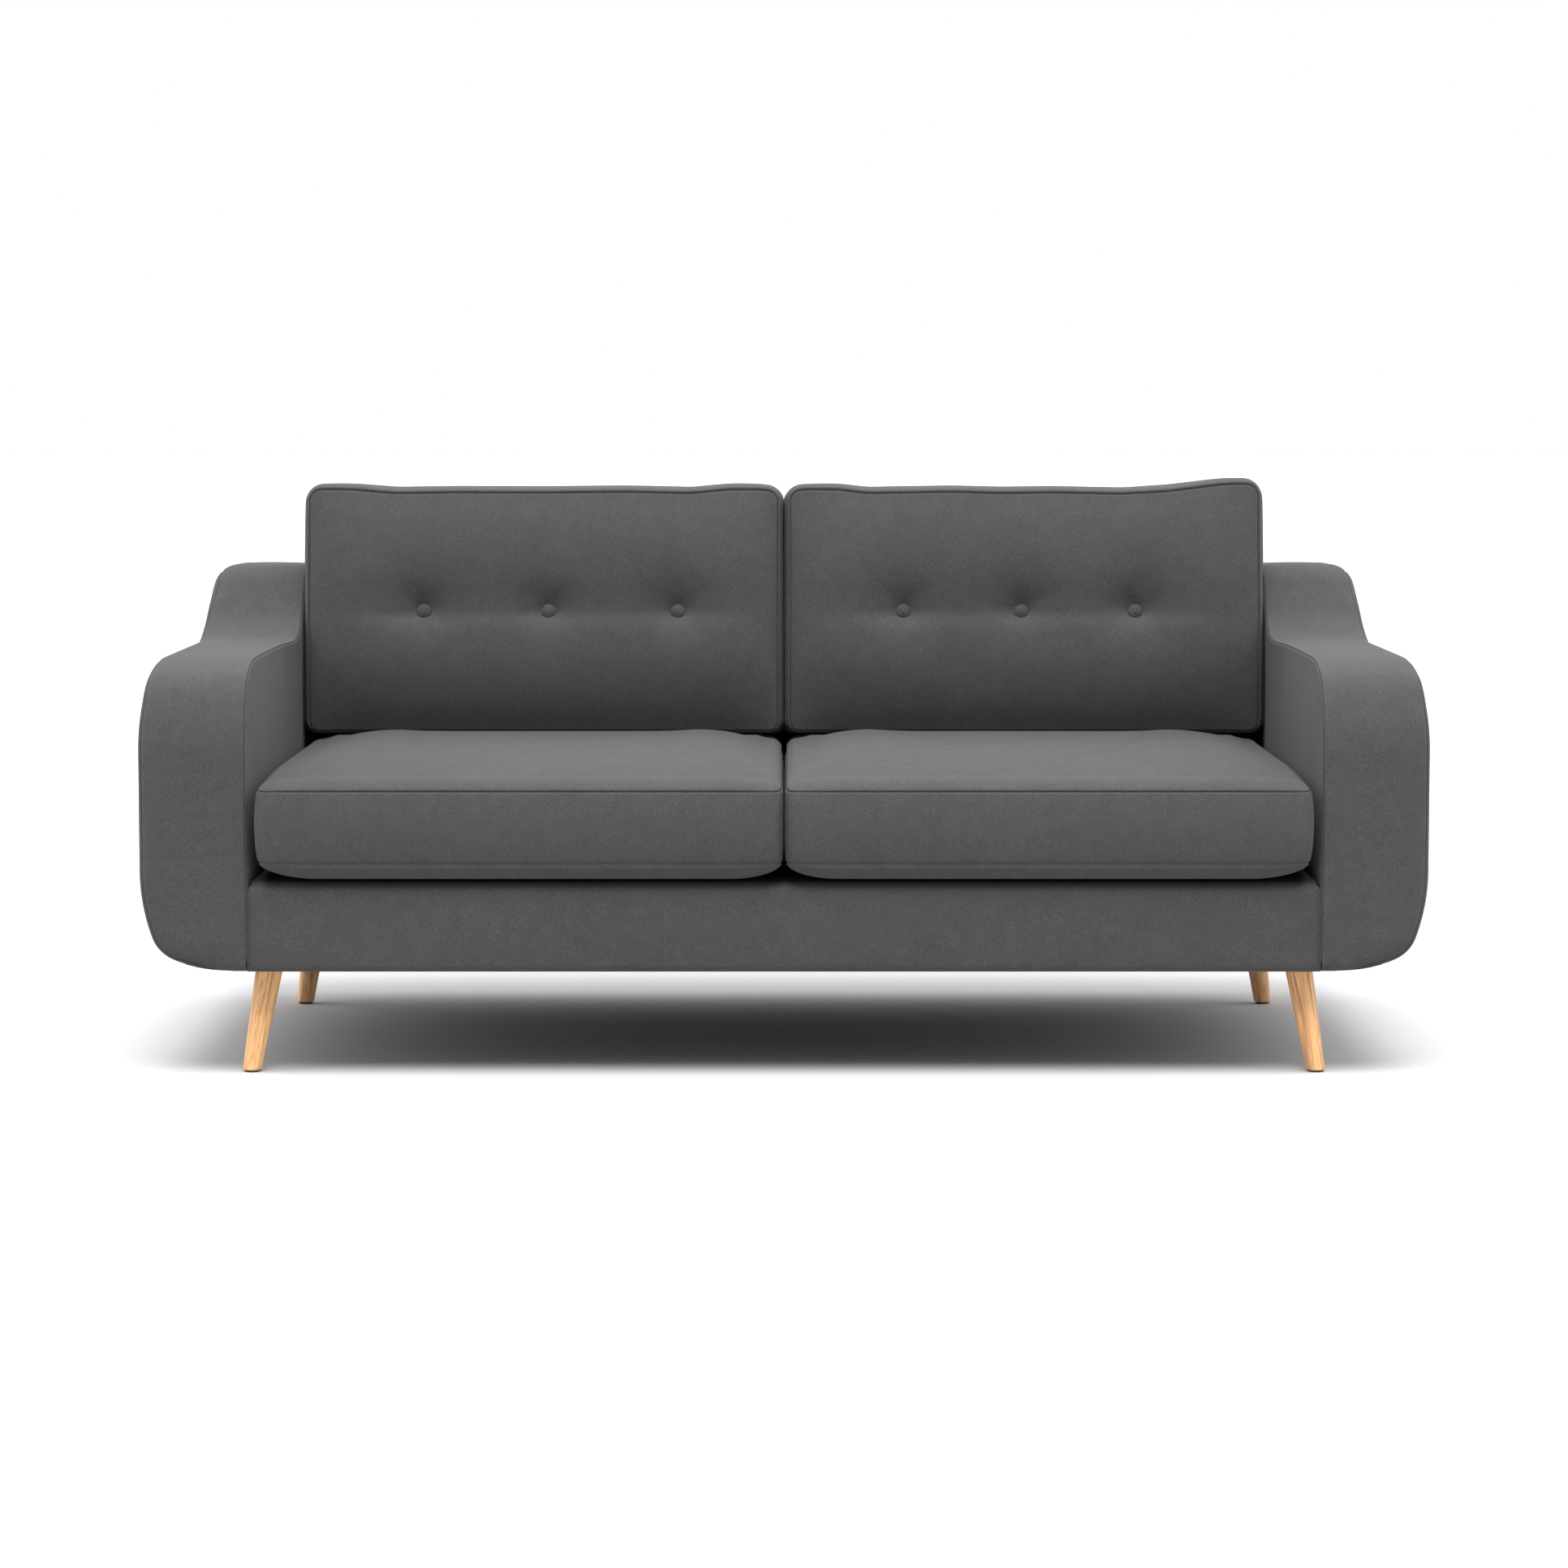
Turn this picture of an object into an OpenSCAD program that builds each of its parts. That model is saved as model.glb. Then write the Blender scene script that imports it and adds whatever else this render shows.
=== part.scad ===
// Two-seater sofa: hollow timber arms and back wrapped in foam and cloth, a zigzag-sprung seat,
// loose seat and back cushions with zips and covered buttons, and four splayed turned legs.
// X runs along the sofa, the front faces -Y and Z is up. The origin is on the floor, under the
// middle of the sofa. Left and right are as seen from the front. Depths, such as sweep_t and every
// t below, are counted from the front face backwards.

/* [Overall size] */
// Overall length, arm to arm
sofa_w = 1950; // [1800:10:2200]
// Overall depth, front to back
sofa_d = 900; // [880:5:960]
// Height of the underside above the floor
base_z = 163; // [150:1:190]
// Height of the flat part of the arm
arm_z = 632; // [610:1:660]

/* [Arms] */
// Width of an arm across its front face
arm_w = 160; // [140:1:190]
// Depth at which the arm top starts to sweep up
sweep_t = 583; // [560:1:600]
// Radius of the sweep where it leaves the arm top
sweep_r = 70; // [50:1:80]
// Slope of the sweep
sweep_angle = 52; // [45:1:56]
// Lean of the outer face above its widest point
outer_lean = 6; // [2:0.5:8]

/* [Legs] */
// Diameter of a leg at the floor
leg_foot_d = 28.6; // [22:0.1:34]
// Diameter of a leg at its top
leg_top_d = 43.5; // [36:0.1:50]
// Splay of the legs, sideways and lengthways alike
leg_splay = 9.4; // [0:0.1:12]
// Distance of the feet from the middle of the sofa
foot_x = 815; // [780:1:830]
// Depth of the front feet
foot_front_t = 58.5; // [50:0.5:90]
// Depth of the rear feet
foot_rear_t = 750; // [700:1:800]

/* [Cushions] */
// Height of the crown of the seat cushions
seat_z = 478; // [470:1:490]
// Height of the back cushions' top edge
back_cushion_z = 888; // [860:1:900]
// Thickness of a back cushion
back_cushion_t = 178; // [140:1:180]
// Lean of the back and its cushions
back_lean = 8; // [4:0.5:9]
// Diameter of a covered button
button_d = 25; // [18:1:32]

/* [Hidden] */
$fn = 48;

// Colours
cloth_colour = [0.34, 0.35, 0.34];
foam_colour = [0.90, 0.87, 0.76];
timber_colour = [0.80, 0.68, 0.50];
oak_colour = [0.78, 0.61, 0.44];
steel_colour = [0.62, 0.64, 0.66];
black_colour = [0.10, 0.10, 0.11];

// Thicknesses and clearances
cloth_t = 1.6; // covering cloth
fit = 0.4; // clearance between neighbouring layers
ply_t = 12; // plywood panels
rail_t = 25; // solid timber rails
big = 3000; // longer than anything here

// Derived planes, in Y and Z
front_y = -sofa_d / 2;
rear_y = sofa_d / 2;
arm_in_x = sofa_w / 2 - 3 - arm_w; // inner face of the arm
arm_out_x = sofa_w / 2; // widest point of the arm
arm_rear_t = sofa_d - cloth_t - fit; // the outside back cover closes the last layer
rail_z0 = base_z + 15; // underside of the seat rails, above the leg plates
rail_z1 = base_z + 122; // top of the seat rails
side_rail_x = arm_in_x - 2; // outer face of a side rail
rail_front_t = 16; // outer face of the front rail
rail_rear_t = 790; // outer face of the rear rail
deck_z = 296; // top of the seat deck
back_in_t = 742; // inside face of the back at the seat deck
back_in_z = 300; // height at which that face starts

// Points on a circular arc, from angle a0 to angle a1
function arc(centre, r, a0, a1, steps = 6) =
    [for (i = [0 : steps]) let (a = a0 + (a1 - a0) * i / steps) centre + r * [cos(a), sin(a)]];

// Depth t to Y
function y_of(t) = front_y + t;

// Arm seen from the side, as [t, z], with every layer d further in
function arm_side(d) =
    let (
        rear = arm_rear_t,
        front_r = [180, 75, 282],
        turn = [150, 110],
        chest_c = [front_r[0], arm_z - 140],
        nose_c = chest_c + (front_r[0] - front_r[1]) * [cos(turn[0]), sin(turn[0])],
        brow_c = nose_c + (front_r[1] - front_r[2]) * [cos(turn[1]), sin(turn[1])],
        sweep_l = 78.3,
        sweep_c = [sweep_t, arm_z + sweep_r],
        wing_c = sweep_c + 2 * sweep_r * [sin(sweep_angle), -cos(sweep_angle)]
            + sweep_l * [cos(sweep_angle), sin(sweep_angle)],
        rise = -1,
        wing_end = wing_c + sweep_r * [-sin(rise), cos(rise)],
        rear_r = 22,
        rear_top = wing_end[1] + (rear - rear_r - wing_end[0]) * tan(rise),
        rear_c = [rear - rear_r, rear_top - rear_r / cos(rise)],
        foot_r = 20,
        foot_c = [foot_r, base_z + 2 + foot_r]
    )
    concat(
        arc(foot_c, foot_r - d, 270, 180, 4),
        arc(chest_c, front_r[0] - d, 180, turn[0], 4),
        arc(nose_c, front_r[1] - d, turn[0], turn[1], 4),
        arc(brow_c, front_r[2] - d, turn[1], 90, 4),
        arc(sweep_c, sweep_r + d, 270, 270 + sweep_angle, 5),
        arc(wing_c, sweep_r - d, 90 + sweep_angle, 90 + rise, 5),
        arc(rear_c, rear_r - d, 90 + rise, 0, 4),
        [[rear - d, base_z + 2 + d]]
    );

// Arm seen from the front, as [x, z], open inwards
function arm_front(d) = concat(arm_edge(d), [[arm_in_x - 60, 800], [arm_in_x - 60, base_z + 2 + d]]);

// Outer edge of that outline, from the underside round to the top
function arm_edge(d) =
    let (
        x0 = arm_out_x,
        heel = [150, 55, 300],
        turn = [270, 295, 340, 360],
        knee_c = [x0 - heel[2], base_z + 149.7],
        hip_c = knee_c + (heel[2] - heel[1]) * [cos(turn[2]), sin(turn[2])],
        sole_c = hip_c + (heel[1] - heel[0]) * [cos(turn[1]), sin(turn[1])],
        waist_r = 480,
        waist_c = [x0 - waist_r, 500]
    )
    concat(
        arc(sole_c, heel[0] - d, turn[0], turn[1], 4),
        arc(hip_c, heel[1] - d, turn[1], turn[2], 5),
        arc(knee_c, heel[2] - d, turn[2], turn[3], 3),
        arc(waist_c, waist_r - d, 0, outer_lean, 3),
        [[x0 - d - (800 - 500) * tan(outer_lean) + 2, 800]]
    );

wing_in = 9; // how far the arm closes in beside the back cushion
flare_z = deck_z + 4; // above the seat frame, which is straight sided

// Inner face of the arm seen from above, as [x, y], closing in by a given amount
function arm_plan_edge(d, flare) = [
    [arm_in_x + d, front_y - 60],
    [arm_in_x + d, y_of(450)],
    [arm_in_x - flare + d, y_of(620)],
    [arm_in_x - flare + d, rear_y + 60],
];

// All space outside the arm's inner face, straight below the seat deck and flared above it
module outside_inner_face(d) {
    outer = [[arm_out_x + 60, rear_y + 60], [arm_out_x + 60, front_y - 60]];
    along_z(concat(arm_plan_edge(d, 0), outer), 0, flare_z);
    along_z(concat(arm_plan_edge(d, wing_in), outer), flare_z, 900);
}

// Back seen from the side, as [t, z], between its inside face and its outside face
function back_side(d) =
    let (
        rear = arm_rear_t,
        top_z = 748,
        inner_top = back_in_t + (top_z - 40 - back_in_z) * tan(back_lean),
        rear_r = 22
    )
    concat(
        [[rear - d, base_z + 4 + d], [back_in_t + d, base_z + 4 + d], [back_in_t + d, back_in_z]],
        arc([inner_top + 40, top_z - 40], 40 - d, 180 - back_lean, 92, 5),
        arc([rear - rear_r, top_z + 2 - rear_r], rear_r - d, 90, 0, 4)
    );

// Solid with a side view [t, z] between two X planes
module along_x(outline, x0, x1) {
    translate([x0, front_y, 0])
        rotate([90, 0, 90])
            linear_extrude(height = x1 - x0)
                polygon(outline);
}

// Solid with a front view [x, z] between two depths
module along_y(outline, t0, t1) {
    translate([0, y_of(t1), 0])
        rotate([90, 0, 0])
            linear_extrude(height = t1 - t0)
                polygon(outline);
}

// Solid with a plan [x, y] between two heights
module along_z(outline, z0, z1) {
    translate([0, 0, z0])
        linear_extrude(height = z1 - z0)
            polygon(outline);
}

// Left pieces are the mirror image of right ones
module side(right) {
    if (right)
        children();
    else
        mirror([1, 0, 0])
            children();
}

function reversed(list) = [for (i = [len(list) - 1 : -1 : 0]) list[i]];

// ---------------------------------------------------------------- legs

// Direction from the top of a leg down to its foot, for the front right leg
leg_lean = [tan(leg_splay), -tan(leg_splay), -1];
leg_tilt = acos(1 / norm(leg_lean));
leg_top_z = base_z + 5;
glide_t = 3;

// Places a child, drawn about +Z upwards from the foot, on one leg's axis
module on_leg(front, right) {
    foot_y = y_of(front ? foot_front_t : foot_rear_t);
    translate([(right ? 1 : -1) * foot_x, foot_y, 0])
        rotate([0, 0, front == right ? (right ? -45 : 135) : (right ? 45 : -135)])
            rotate([0, -leg_tilt, 0])
                children();
}

leg_len = leg_top_z / cos(leg_tilt); // from the floor to the top face, along the axis

module leg(front, right) {
    color(oak_colour)
        difference() {
            on_leg(front, right)
                difference() {
                    translate([0, 0, -10])
                        cylinder(h = leg_len + 10, d1 = leg_foot_d - 1, d2 = leg_top_d);
                    translate([0, 0, leg_len - 45])
                        cylinder(h = 50, d = 8.4);
                }
            translate([-big / 2, -big / 2, -100])
                cube([big, big, 100 + glide_t]);
        }
}

// Every corner of the base: [front, right]
corners = [[true, false], [true, true], [false, false], [false, true]];

module hanger_bolts() {
    color(steel_colour)
        for (c = corners)
            on_leg(c[0], c[1])
                translate([0, 0, leg_len - 38])
                    cylinder(h = 64, d = 8);
}

// Plastic discs nailed under the feet
module foot_glides() {
    color(black_colour)
        for (c = corners)
            translate([(c[1] ? 1 : -1) * foot_x, y_of(c[0] ? foot_front_t : foot_rear_t), 0])
                cylinder(h = glide_t, d = leg_foot_d - 6);
}

// Centre of a leg plate, on the underside of the rails
function plate_centre(c) =
    let (run = leg_top_z * tan(leg_splay) + 4)
    [(c[1] ? 1 : -1) * (arm_in_x - 34), y_of(c[0] ? foot_front_t + run : foot_rear_t - run)];

// Wedge-shaped plates that set the splay, each tapped for its hanger bolt
module leg_plates() {
    plate_w = 60;
    color(steel_colour)
        for (c = corners) {
            p = plate_centre(c);
            difference() {
                translate([p[0] - plate_w / 2, p[1] - plate_w / 2, base_z + 2])
                    cube([plate_w, plate_w, rail_z0 - base_z - 2 - fit]);
                on_leg(c[0], c[1])
                    translate([-60, -60, leg_len + fit - 100])
                        cube([120, 120, 100]);
                on_leg(c[0], c[1])
                    cylinder(h = leg_len + 40, d = 8.4);
                for (dx = [-1, 1], dy = [-1, 1])
                    translate([p[0] + dx * 22, p[1] + dy * 22, base_z])
                        cylinder(h = 30, d = 4.6);
            }
        }
}

module plate_screws() {
    color(steel_colour)
        for (c = corners, dx = [-1, 1], dy = [-1, 1]) {
            p = plate_centre(c);
            translate([p[0] + dx * 22, p[1] + dy * 22, rail_z0 - 4])
                cylinder(h = 26, d = 4.2);
        }
}

// ---------------------------------------------------------------- seat frame

module rail_box(x0, x1, t0, t1, z0, z1) {
    translate([x0, y_of(t0), z0])
        cube([x1 - x0, t1 - t0, z1 - z0]);
}

// Clearance holes for the bolts and screws that enter the timber from below
module fixing_holes() {
    for (c = corners) {
        on_leg(c[0], c[1])
            cylinder(h = leg_len + 40, d = 10);
        p = plate_centre(c);
        for (dx = [-1, 1], dy = [-1, 1])
            translate([p[0] + dx * 22, p[1] + dy * 22, rail_z0 - 5])
                cylinder(h = 30, d = 4.6);
    }
}

module front_rail() {
    color(timber_colour)
        difference() {
            rail_box(-side_rail_x, side_rail_x, rail_front_t, rail_front_t + rail_t, rail_z0, rail_z1);
            fixing_holes();
        }
}

module rear_rail() {
    color(timber_colour)
        rail_box(-side_rail_x, side_rail_x, rail_rear_t - rail_t, rail_rear_t, rail_z0, rail_z1);
}

side_t0 = rail_front_t + rail_t + fit;
side_t1 = rail_rear_t - rail_t - fit;
arm_bolt_t = [120, 390, 640];
arm_bolt_z = rail_z0 + 70;

module side_rails() {
    color(timber_colour)
        for (right = [false, true])
            side(right)
                difference() {
                    rail_box(side_rail_x - rail_t, side_rail_x, side_t0, side_t1, rail_z0, rail_z1);
                    side(right)
                        fixing_holes();
                    arm_bolt_holes();
                }
}

module centre_rail() {
    color(timber_colour)
        rail_box(-rail_t / 2, rail_t / 2, side_t0, side_t1, rail_z0, rail_z1 - 45);
}

// Triangular blocks glued into the corners of the seat frame
module corner_blocks() {
    leg = 110;
    x1 = side_rail_x - rail_t - fit;
    color(timber_colour)
        for (c = corners)
            side(c[1])
                difference() {
                    along_z(
                        c[0]
                            ? [[x1, y_of(side_t0)], [x1, y_of(side_t0 + leg)], [x1 - leg, y_of(side_t0)]]
                            : [[x1, y_of(side_t1)], [x1 - leg, y_of(side_t1)], [x1, y_of(side_t1 - leg)]],
                        rail_z0, rail_z0 + 60
                    );
                    side(c[1])
                        fixing_holes();
                }
}

// Clearance holes for the arm bolts, through everything on the right side
module arm_bolt_holes() {
    for (t = arm_bolt_t)
        translate([side_rail_x - rail_t - 10, y_of(t), arm_bolt_z])
            rotate([0, 90, 0])
                cylinder(h = 80, d = 9);
}

// Bolts that clamp each arm to its side rail, with their heads inside the seat frame
module arm_bolts() {
    bolt_l = inner_panel_x + ply_t + 4 - side_rail_x + rail_t;
    color(steel_colour)
        for (right = [false, true], t = arm_bolt_t)
            side(right)
                translate([side_rail_x - rail_t, y_of(t), arm_bolt_z])
                    rotate([0, 90, 0]) {
                        translate([0, 0, -4])
                            cylinder(h = 3.8, d = 16);
                        translate([0, 0, -1])
                            cylinder(h = bolt_l + 1, d = 8);
                    }
}

// ---------------------------------------------------------------- seat springs and deck

spring_z = rail_z1 + 1.5;
wire_t = 3.6;
springs = 8;
spring_t0 = rail_front_t + 14;
spring_t1 = rail_rear_t - 14;

// Centre line of one zigzag spring as [x, t]
function spring_line(half_w = 24, bends = 24) =
    let (pitch = (spring_t1 - spring_t0) / bends, r = pitch / 2)
    concat(
        [[r - half_w, spring_t0]],
        [for (i = [0 : bends - 1])
            let (s = i % 2 == 0 ? 1 : -1, tc = spring_t0 + pitch * (i + 0.5))
            for (a = [-90 : 60 : 90]) [s * (half_w - r + r * cos(a)), tc + r * sin(a)]
        ],
        [[half_w - r, spring_t1]]
    );

// Unit normal of a polyline at point i
function normal_at(line, i) =
    let (d = line[min(i + 1, len(line) - 1)] - line[max(i - 1, 0)])
    [-d[1], d[0]] / norm(d);

// Flat band of width w about a polyline
function band(line, w) = concat(
    [for (i = [0 : len(line) - 1]) line[i] + normal_at(line, i) * w / 2],
    [for (i = [len(line) - 1 : -1 : 0]) line[i] - normal_at(line, i) * w / 2]
);

spring_gap = 196;

function spring_x(i) = (i - (springs - 1) / 2) * spring_gap;

module seat_springs() {
    color(steel_colour)
        for (i = [0 : springs - 1])
            translate([spring_x(i), front_y, spring_z])
                linear_extrude(height = wire_t)
                    polygon(band(spring_line(), wire_t));
}

// Folded clips on the rails, open towards the middle of the seat, that hold the end bars
module spring_clips() {
    clip_w = 12;
    clip_l = 14;
    sheet = 1;
    color(steel_colour)
        for (i = [0 : springs - 1], rear = [0, 1])
            translate([spring_x(i), y_of(rear == 1 ? spring_t1 : spring_t0), rail_z1 + 0.3])
                mirror([0, rear, 0])
                    difference() {
                        translate([-clip_w / 2, -clip_l / 2, 0])
                            cube([clip_w, clip_l, wire_t + 3]);
                        translate([-clip_w, sheet - clip_l / 2, sheet])
                            cube([2 * clip_w, clip_l, wire_t + 3 - 2 * sheet]);
                    }
}

// Felt over the springs
module deck_pad() {
    z0 = rail_z1 + wire_t + 3.8;
    color(foam_colour)
        rail_box(-arm_in_x + 3, arm_in_x - 3, 24, back_in_t - 3, z0, deck_z - cloth_t - fit);
}

module deck_cover() {
    color(cloth_colour)
        rail_box(-arm_in_x + 1, arm_in_x - 1, 24, back_in_t - 1, deck_z - cloth_t, deck_z);
}

// Front border seen from the side: a rounded top edge that rolls back over the rail
function border_side(d) =
    let (r = 18, back_t = 22)
    concat(
        [[back_t, base_z + d + 2], [6, base_z + d]],
        arc([6, base_z + 6], 6 - min(d, 5), 270, 180, 3),
        arc([r, deck_z - r], r - d, 180, 90, 5),
        [[back_t, deck_z - d]]
    );

border_x = arm_in_x - 0.8;

module front_border_pad() {
    inner = [[15, rail_z0 - 12], [40, rail_z0 - 12], [40, rail_z1 + 3], [15, rail_z1 + 3]];
    color(foam_colour)
        difference() {
            along_x(border_side(cloth_t + fit), -border_x + 3, border_x - 3);
            along_x(inner, -big / 2, big / 2);
        }
}

// Cloth band over the front border, cut to rounded top corners
module front_border_cover() {
    corner_r = 25;
    x1 = border_x;
    color(cloth_colour)
        intersection() {
            difference() {
                along_x(border_side(0), -border_x, border_x);
                along_x(border_side(cloth_t), -border_x - 1, border_x + 1);
            }
            along_y(
                concat(
                    [[-x1, base_z - 5], [x1, base_z - 5]],
                    arc([x1 - corner_r, deck_z - corner_r], corner_r, 0, 90),
                    arc([-x1 + corner_r, deck_z - corner_r], corner_r, 90, 180)
                ),
                -5, 40
            );
        }
}

// Black cloth stapled under the seat frame, open round the legs
module dust_cover() {
    color(black_colour)
        difference() {
            rail_box(-arm_in_x + 2, arm_in_x - 2, 24, sofa_d - 12, base_z + 0.5, base_z + 1.6);
            for (c = corners)
                on_leg(c[0], c[1])
                    translate([0, 0, leg_len - 40])
                        cylinder(h = 80, d = leg_top_d + 2);
        }
}

// ---------------------------------------------------------------- arms

// The arm with every face d further in than its finished surface
module arm_envelope(d) {
    intersection() {
        along_x(arm_side(d), arm_in_x - 60, arm_out_x + 20);
        along_y(arm_front(d), -20, sofa_d + 20);
        outside_inner_face(d);
    }
}

pad_t = 12; // foam over the plywood
core_d = cloth_t + fit + pad_t; // depth of the timber under the finished surface
inner_panel_x = arm_in_x + core_d + fit;
outer_panel_x = arm_out_x - 58;

// Two shaped plywood sides
module arm_panels(right) {
    color(timber_colour)
        side(right)
            difference() {
                intersection() {
                    union() {
                        along_x(arm_side(core_d + fit), inner_panel_x, inner_panel_x + ply_t);
                        along_x(arm_side(core_d + fit), outer_panel_x, outer_panel_x + ply_t);
                    }
                    along_y(arm_front(core_d + fit), -20, sofa_d + 20);
                }
                arm_bolt_holes();
            }
}

// Rails between those sides, and the cleat that the side rail is bolted to
module arm_rails(right) {
    x0 = inner_panel_x + ply_t + 0.2;
    x1 = outer_panel_x - 0.2;
    top_z = arm_z - core_d - 1;
    color(timber_colour)
        side(right) {
            rail_box(x0, x1, 18, 18 + rail_t, base_z + 60, arm_z - 132);
            rail_box(x0, x1, 160, 570, top_z - rail_t, top_z);
            rail_box(x0, x1, 60, 860, base_z + 30, base_z + 30 + rail_t);
            rail_box(x0, x1, 858, 858 + rail_t, base_z + 70, 700);
            difference() {
                rail_box(arm_in_x + cloth_t + fit, inner_panel_x - 0.2, 60, 740, rail_z0 + 40, rail_z1);
                arm_bolt_holes();
            }
        }
}

// Foam round the outside of the arm, hollow where the timber is
module arm_pad(right) {
    color(foam_colour)
        side(right)
            difference() {
                arm_envelope(cloth_t + fit);
                arm_envelope(core_d);
                rail_box(arm_in_x - 20, inner_panel_x + 5, 58, 742, rail_z0 + 38, rail_z1 + 2);
            }
}

// Outline of a skin: its outer path and the same path moved in
function skin(outer, inner) = concat(outer, reversed(inner));

// One strip that runs up the front of the arm and back over its top
module arm_band_cover(right) {
    path_end = len(arm_side(0)) - 2; // the last point closes the outline at the rear foot
    function path(d) = [for (i = [0 : path_end]) arm_side(d)[i]];
    color(cloth_colour)
        side(right)
            intersection() {
                along_x(skin(path(0), path(cloth_t)), arm_in_x - 60, arm_out_x + 20);
                along_y(arm_front(cloth_t + fit), -20, sofa_d + 20);
                outside_inner_face(0);
            }
}

module arm_inner_cover(right) {
    color(cloth_colour)
        side(right)
            difference() {
                intersection() {
                    union() {
                        along_z(skin(arm_plan_edge(0, 0), arm_plan_edge(cloth_t, 0)), 0, flare_z);
                        along_z(
                            skin(arm_plan_edge(0, wing_in), arm_plan_edge(cloth_t, wing_in)),
                            flare_z, 900
                        );
                    }
                    along_x(arm_side(cloth_t + fit), arm_in_x - 60, arm_out_x);
                }
                arm_bolt_holes();
            }
}

// Outside panel, which wraps round the big lower corner and under the arm
module arm_outer_cover(right) {
    color(cloth_colour)
        side(right)
            intersection() {
                along_y(
                    skin(
                        concat([[arm_in_x + 3, base_z + 2]], arm_edge(0)),
                        concat([[arm_in_x + 3, base_z + 2 + cloth_t]], arm_edge(cloth_t))
                    ),
                    -20, sofa_d + 20
                );
                along_x(arm_side(0), arm_in_x - 60, arm_out_x + 20);
            }
}

// ---------------------------------------------------------------- back

// Lean of the inside face as a transform of a vertical piece standing at back_in_t
module leaning() {
    translate([0, y_of(back_in_t), back_in_z])
        rotate([-back_lean, 0, 0])
            children();
}

back_x = arm_in_x - 9 - 1; // half width between the wings

module back_top_rail() {
    color(timber_colour)
        leaning()
            translate([-back_x + 3, 22, 380])
                cube([2 * back_x - 6, rail_t, 50]);
}

module back_lower_rail() {
    color(timber_colour)
        leaning()
            translate([-back_x + 3, 22, 10])
                cube([2 * back_x - 6, rail_t, 50]);
}

module back_posts() {
    color(timber_colour)
        leaning()
            for (x = [-back_x + 3, -20, back_x - 3 - 40])
                translate([x, 22, 60 + 0.2])
                    cube([40, rail_t, 320 - 0.4]);
}

// Elastic straps tacked to the front of the two rails
module back_webbing() {
    straps = 5;
    color(black_colour)
        for (side_x = [-1, 1], i = [0 : straps - 1])
            leaning()
                translate([side_x * (110 + i * 145) - 25, 20, 20])
                    cube([50, 1.5, 400]);
}

module back_pad() {
    color(foam_colour)
        intersection() {
            difference() {
                along_x(back_side(cloth_t + fit), -back_x + 2, back_x - 2);
                leaning()
                    translate([-back_x + 1, 19, -40])
                        cube([2 * back_x - 2, 70, 485]);
            }
            rail_box(-back_x, back_x, 0, sofa_d, deck_z + 8, 800);
        }
}

// Lining over the inside face and the top edge
module back_inside_cover() {
    path = [for (i = [2 : len(back_side(0)) - 3]) back_side(0)[i]];
    inner = [for (i = [2 : len(back_side(0)) - 3]) back_side(cloth_t)[i]];
    color(cloth_colour)
        along_x(skin(path, inner), -back_x + 1, back_x - 1);
}

// One flat panel over the whole rear
module back_outside_cover() {
    inset = 2;
    edge = arm_edge(inset);
    color(cloth_colour)
        intersection() {
            along_y(
                concat(edge, [for (p = reversed(edge)) [-p[0], p[1]]]),
                sofa_d - cloth_t, sofa_d
            );
            rail_box(-big / 2, big / 2, 0, sofa_d + 10, 0, 728);
        }
}

// ---------------------------------------------------------------- seat cushions

seat_x0 = 2;
seat_x1 = arm_in_x - 16;
seat_t0 = -22; // the cushions stand out in front of the arms
seat_t1 = back_in_t - 4;
seat_z0 = deck_z + 4;
seat_seam_z = 438;

// Seat cushion seen from the side: crowned in front, flat where the back cushion rests
function seat_side(d) =
    let (
        crown_r = 420,
        brow_a = 114.5,
        crown_c = [seat_t0 + 5 + crown_r * -cos(brow_a), seat_z - crown_r],
        low_r = 28
    )
    concat(
        arc([seat_t0 + low_r, seat_z0 + low_r], low_r - d, 270, 180, 4),
        [[seat_t0 + d, seat_seam_z - 6]],
        arc(crown_c, crown_r - d, brow_a, 90, 6),
        [[seat_t1 - d, seat_z - d], [seat_t1 - d, seat_z0 + 12 + d], [seat_t1 - 12 - d, seat_z0 + d]]
    );

// Seat cushion seen from the front
function seat_front(d) =
    let (r = 42, top_r = 58)
    concat(
        arc([seat_x0 + r, seat_z0 + r], r - d, 180, 270, 4),
        arc([seat_x1 - r, seat_z0 + r], r - d, 270, 360, 4),
        arc([seat_x1 - top_r, seat_z - top_r + 10], top_r - d, 0, 70, 4),
        [[seat_x1 - 150, seat_z + 5 - d], [seat_x0 + 150, seat_z + 5 - d]],
        arc([seat_x0 + top_r, seat_z - top_r + 10], top_r - d, 110, 180, 4)
    );

module seat_cushion(d) {
    intersection() {
        along_x(seat_side(d), 0, seat_x1 + 20);
        along_y(seat_front(d), seat_t0 - 20, sofa_d);
    }
}

zip_l = 620;
tape_w = 11.2;
zip_mid_x = (seat_x0 + seat_x1) / 2;
seat_zip_z = (seat_z0 + seat_z) / 2;

module seat_cushion_cover(right) {
    color(cloth_colour)
        side(right)
            difference() {
                seat_cushion(0);
                seat_cushion(cloth_t);
                rail_box(
                    zip_mid_x - zip_l / 2 - 1, zip_mid_x + zip_l / 2 + 1,
                    seat_t1 - 10, seat_t1 + 5,
                    seat_zip_z - tape_w / 2 - fit, seat_zip_z + tape_w / 2 + fit
                );
            }
}

module seat_cushion_foam(right) {
    color(foam_colour)
        side(right)
            seat_cushion(cloth_t + fit);
}

// Tape with a row of coil teeth, let into the rear border of the cover
module seat_zip(right) {
    color(black_colour)
        side(right) {
            rail_box(zip_mid_x - zip_l / 2, zip_mid_x + zip_l / 2,
                seat_t1 - 1.4, seat_t1 - 0.4, seat_zip_z - tape_w / 2, seat_zip_z + tape_w / 2);
        }
}

slider_w = 8;
slider_l = 12;

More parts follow.
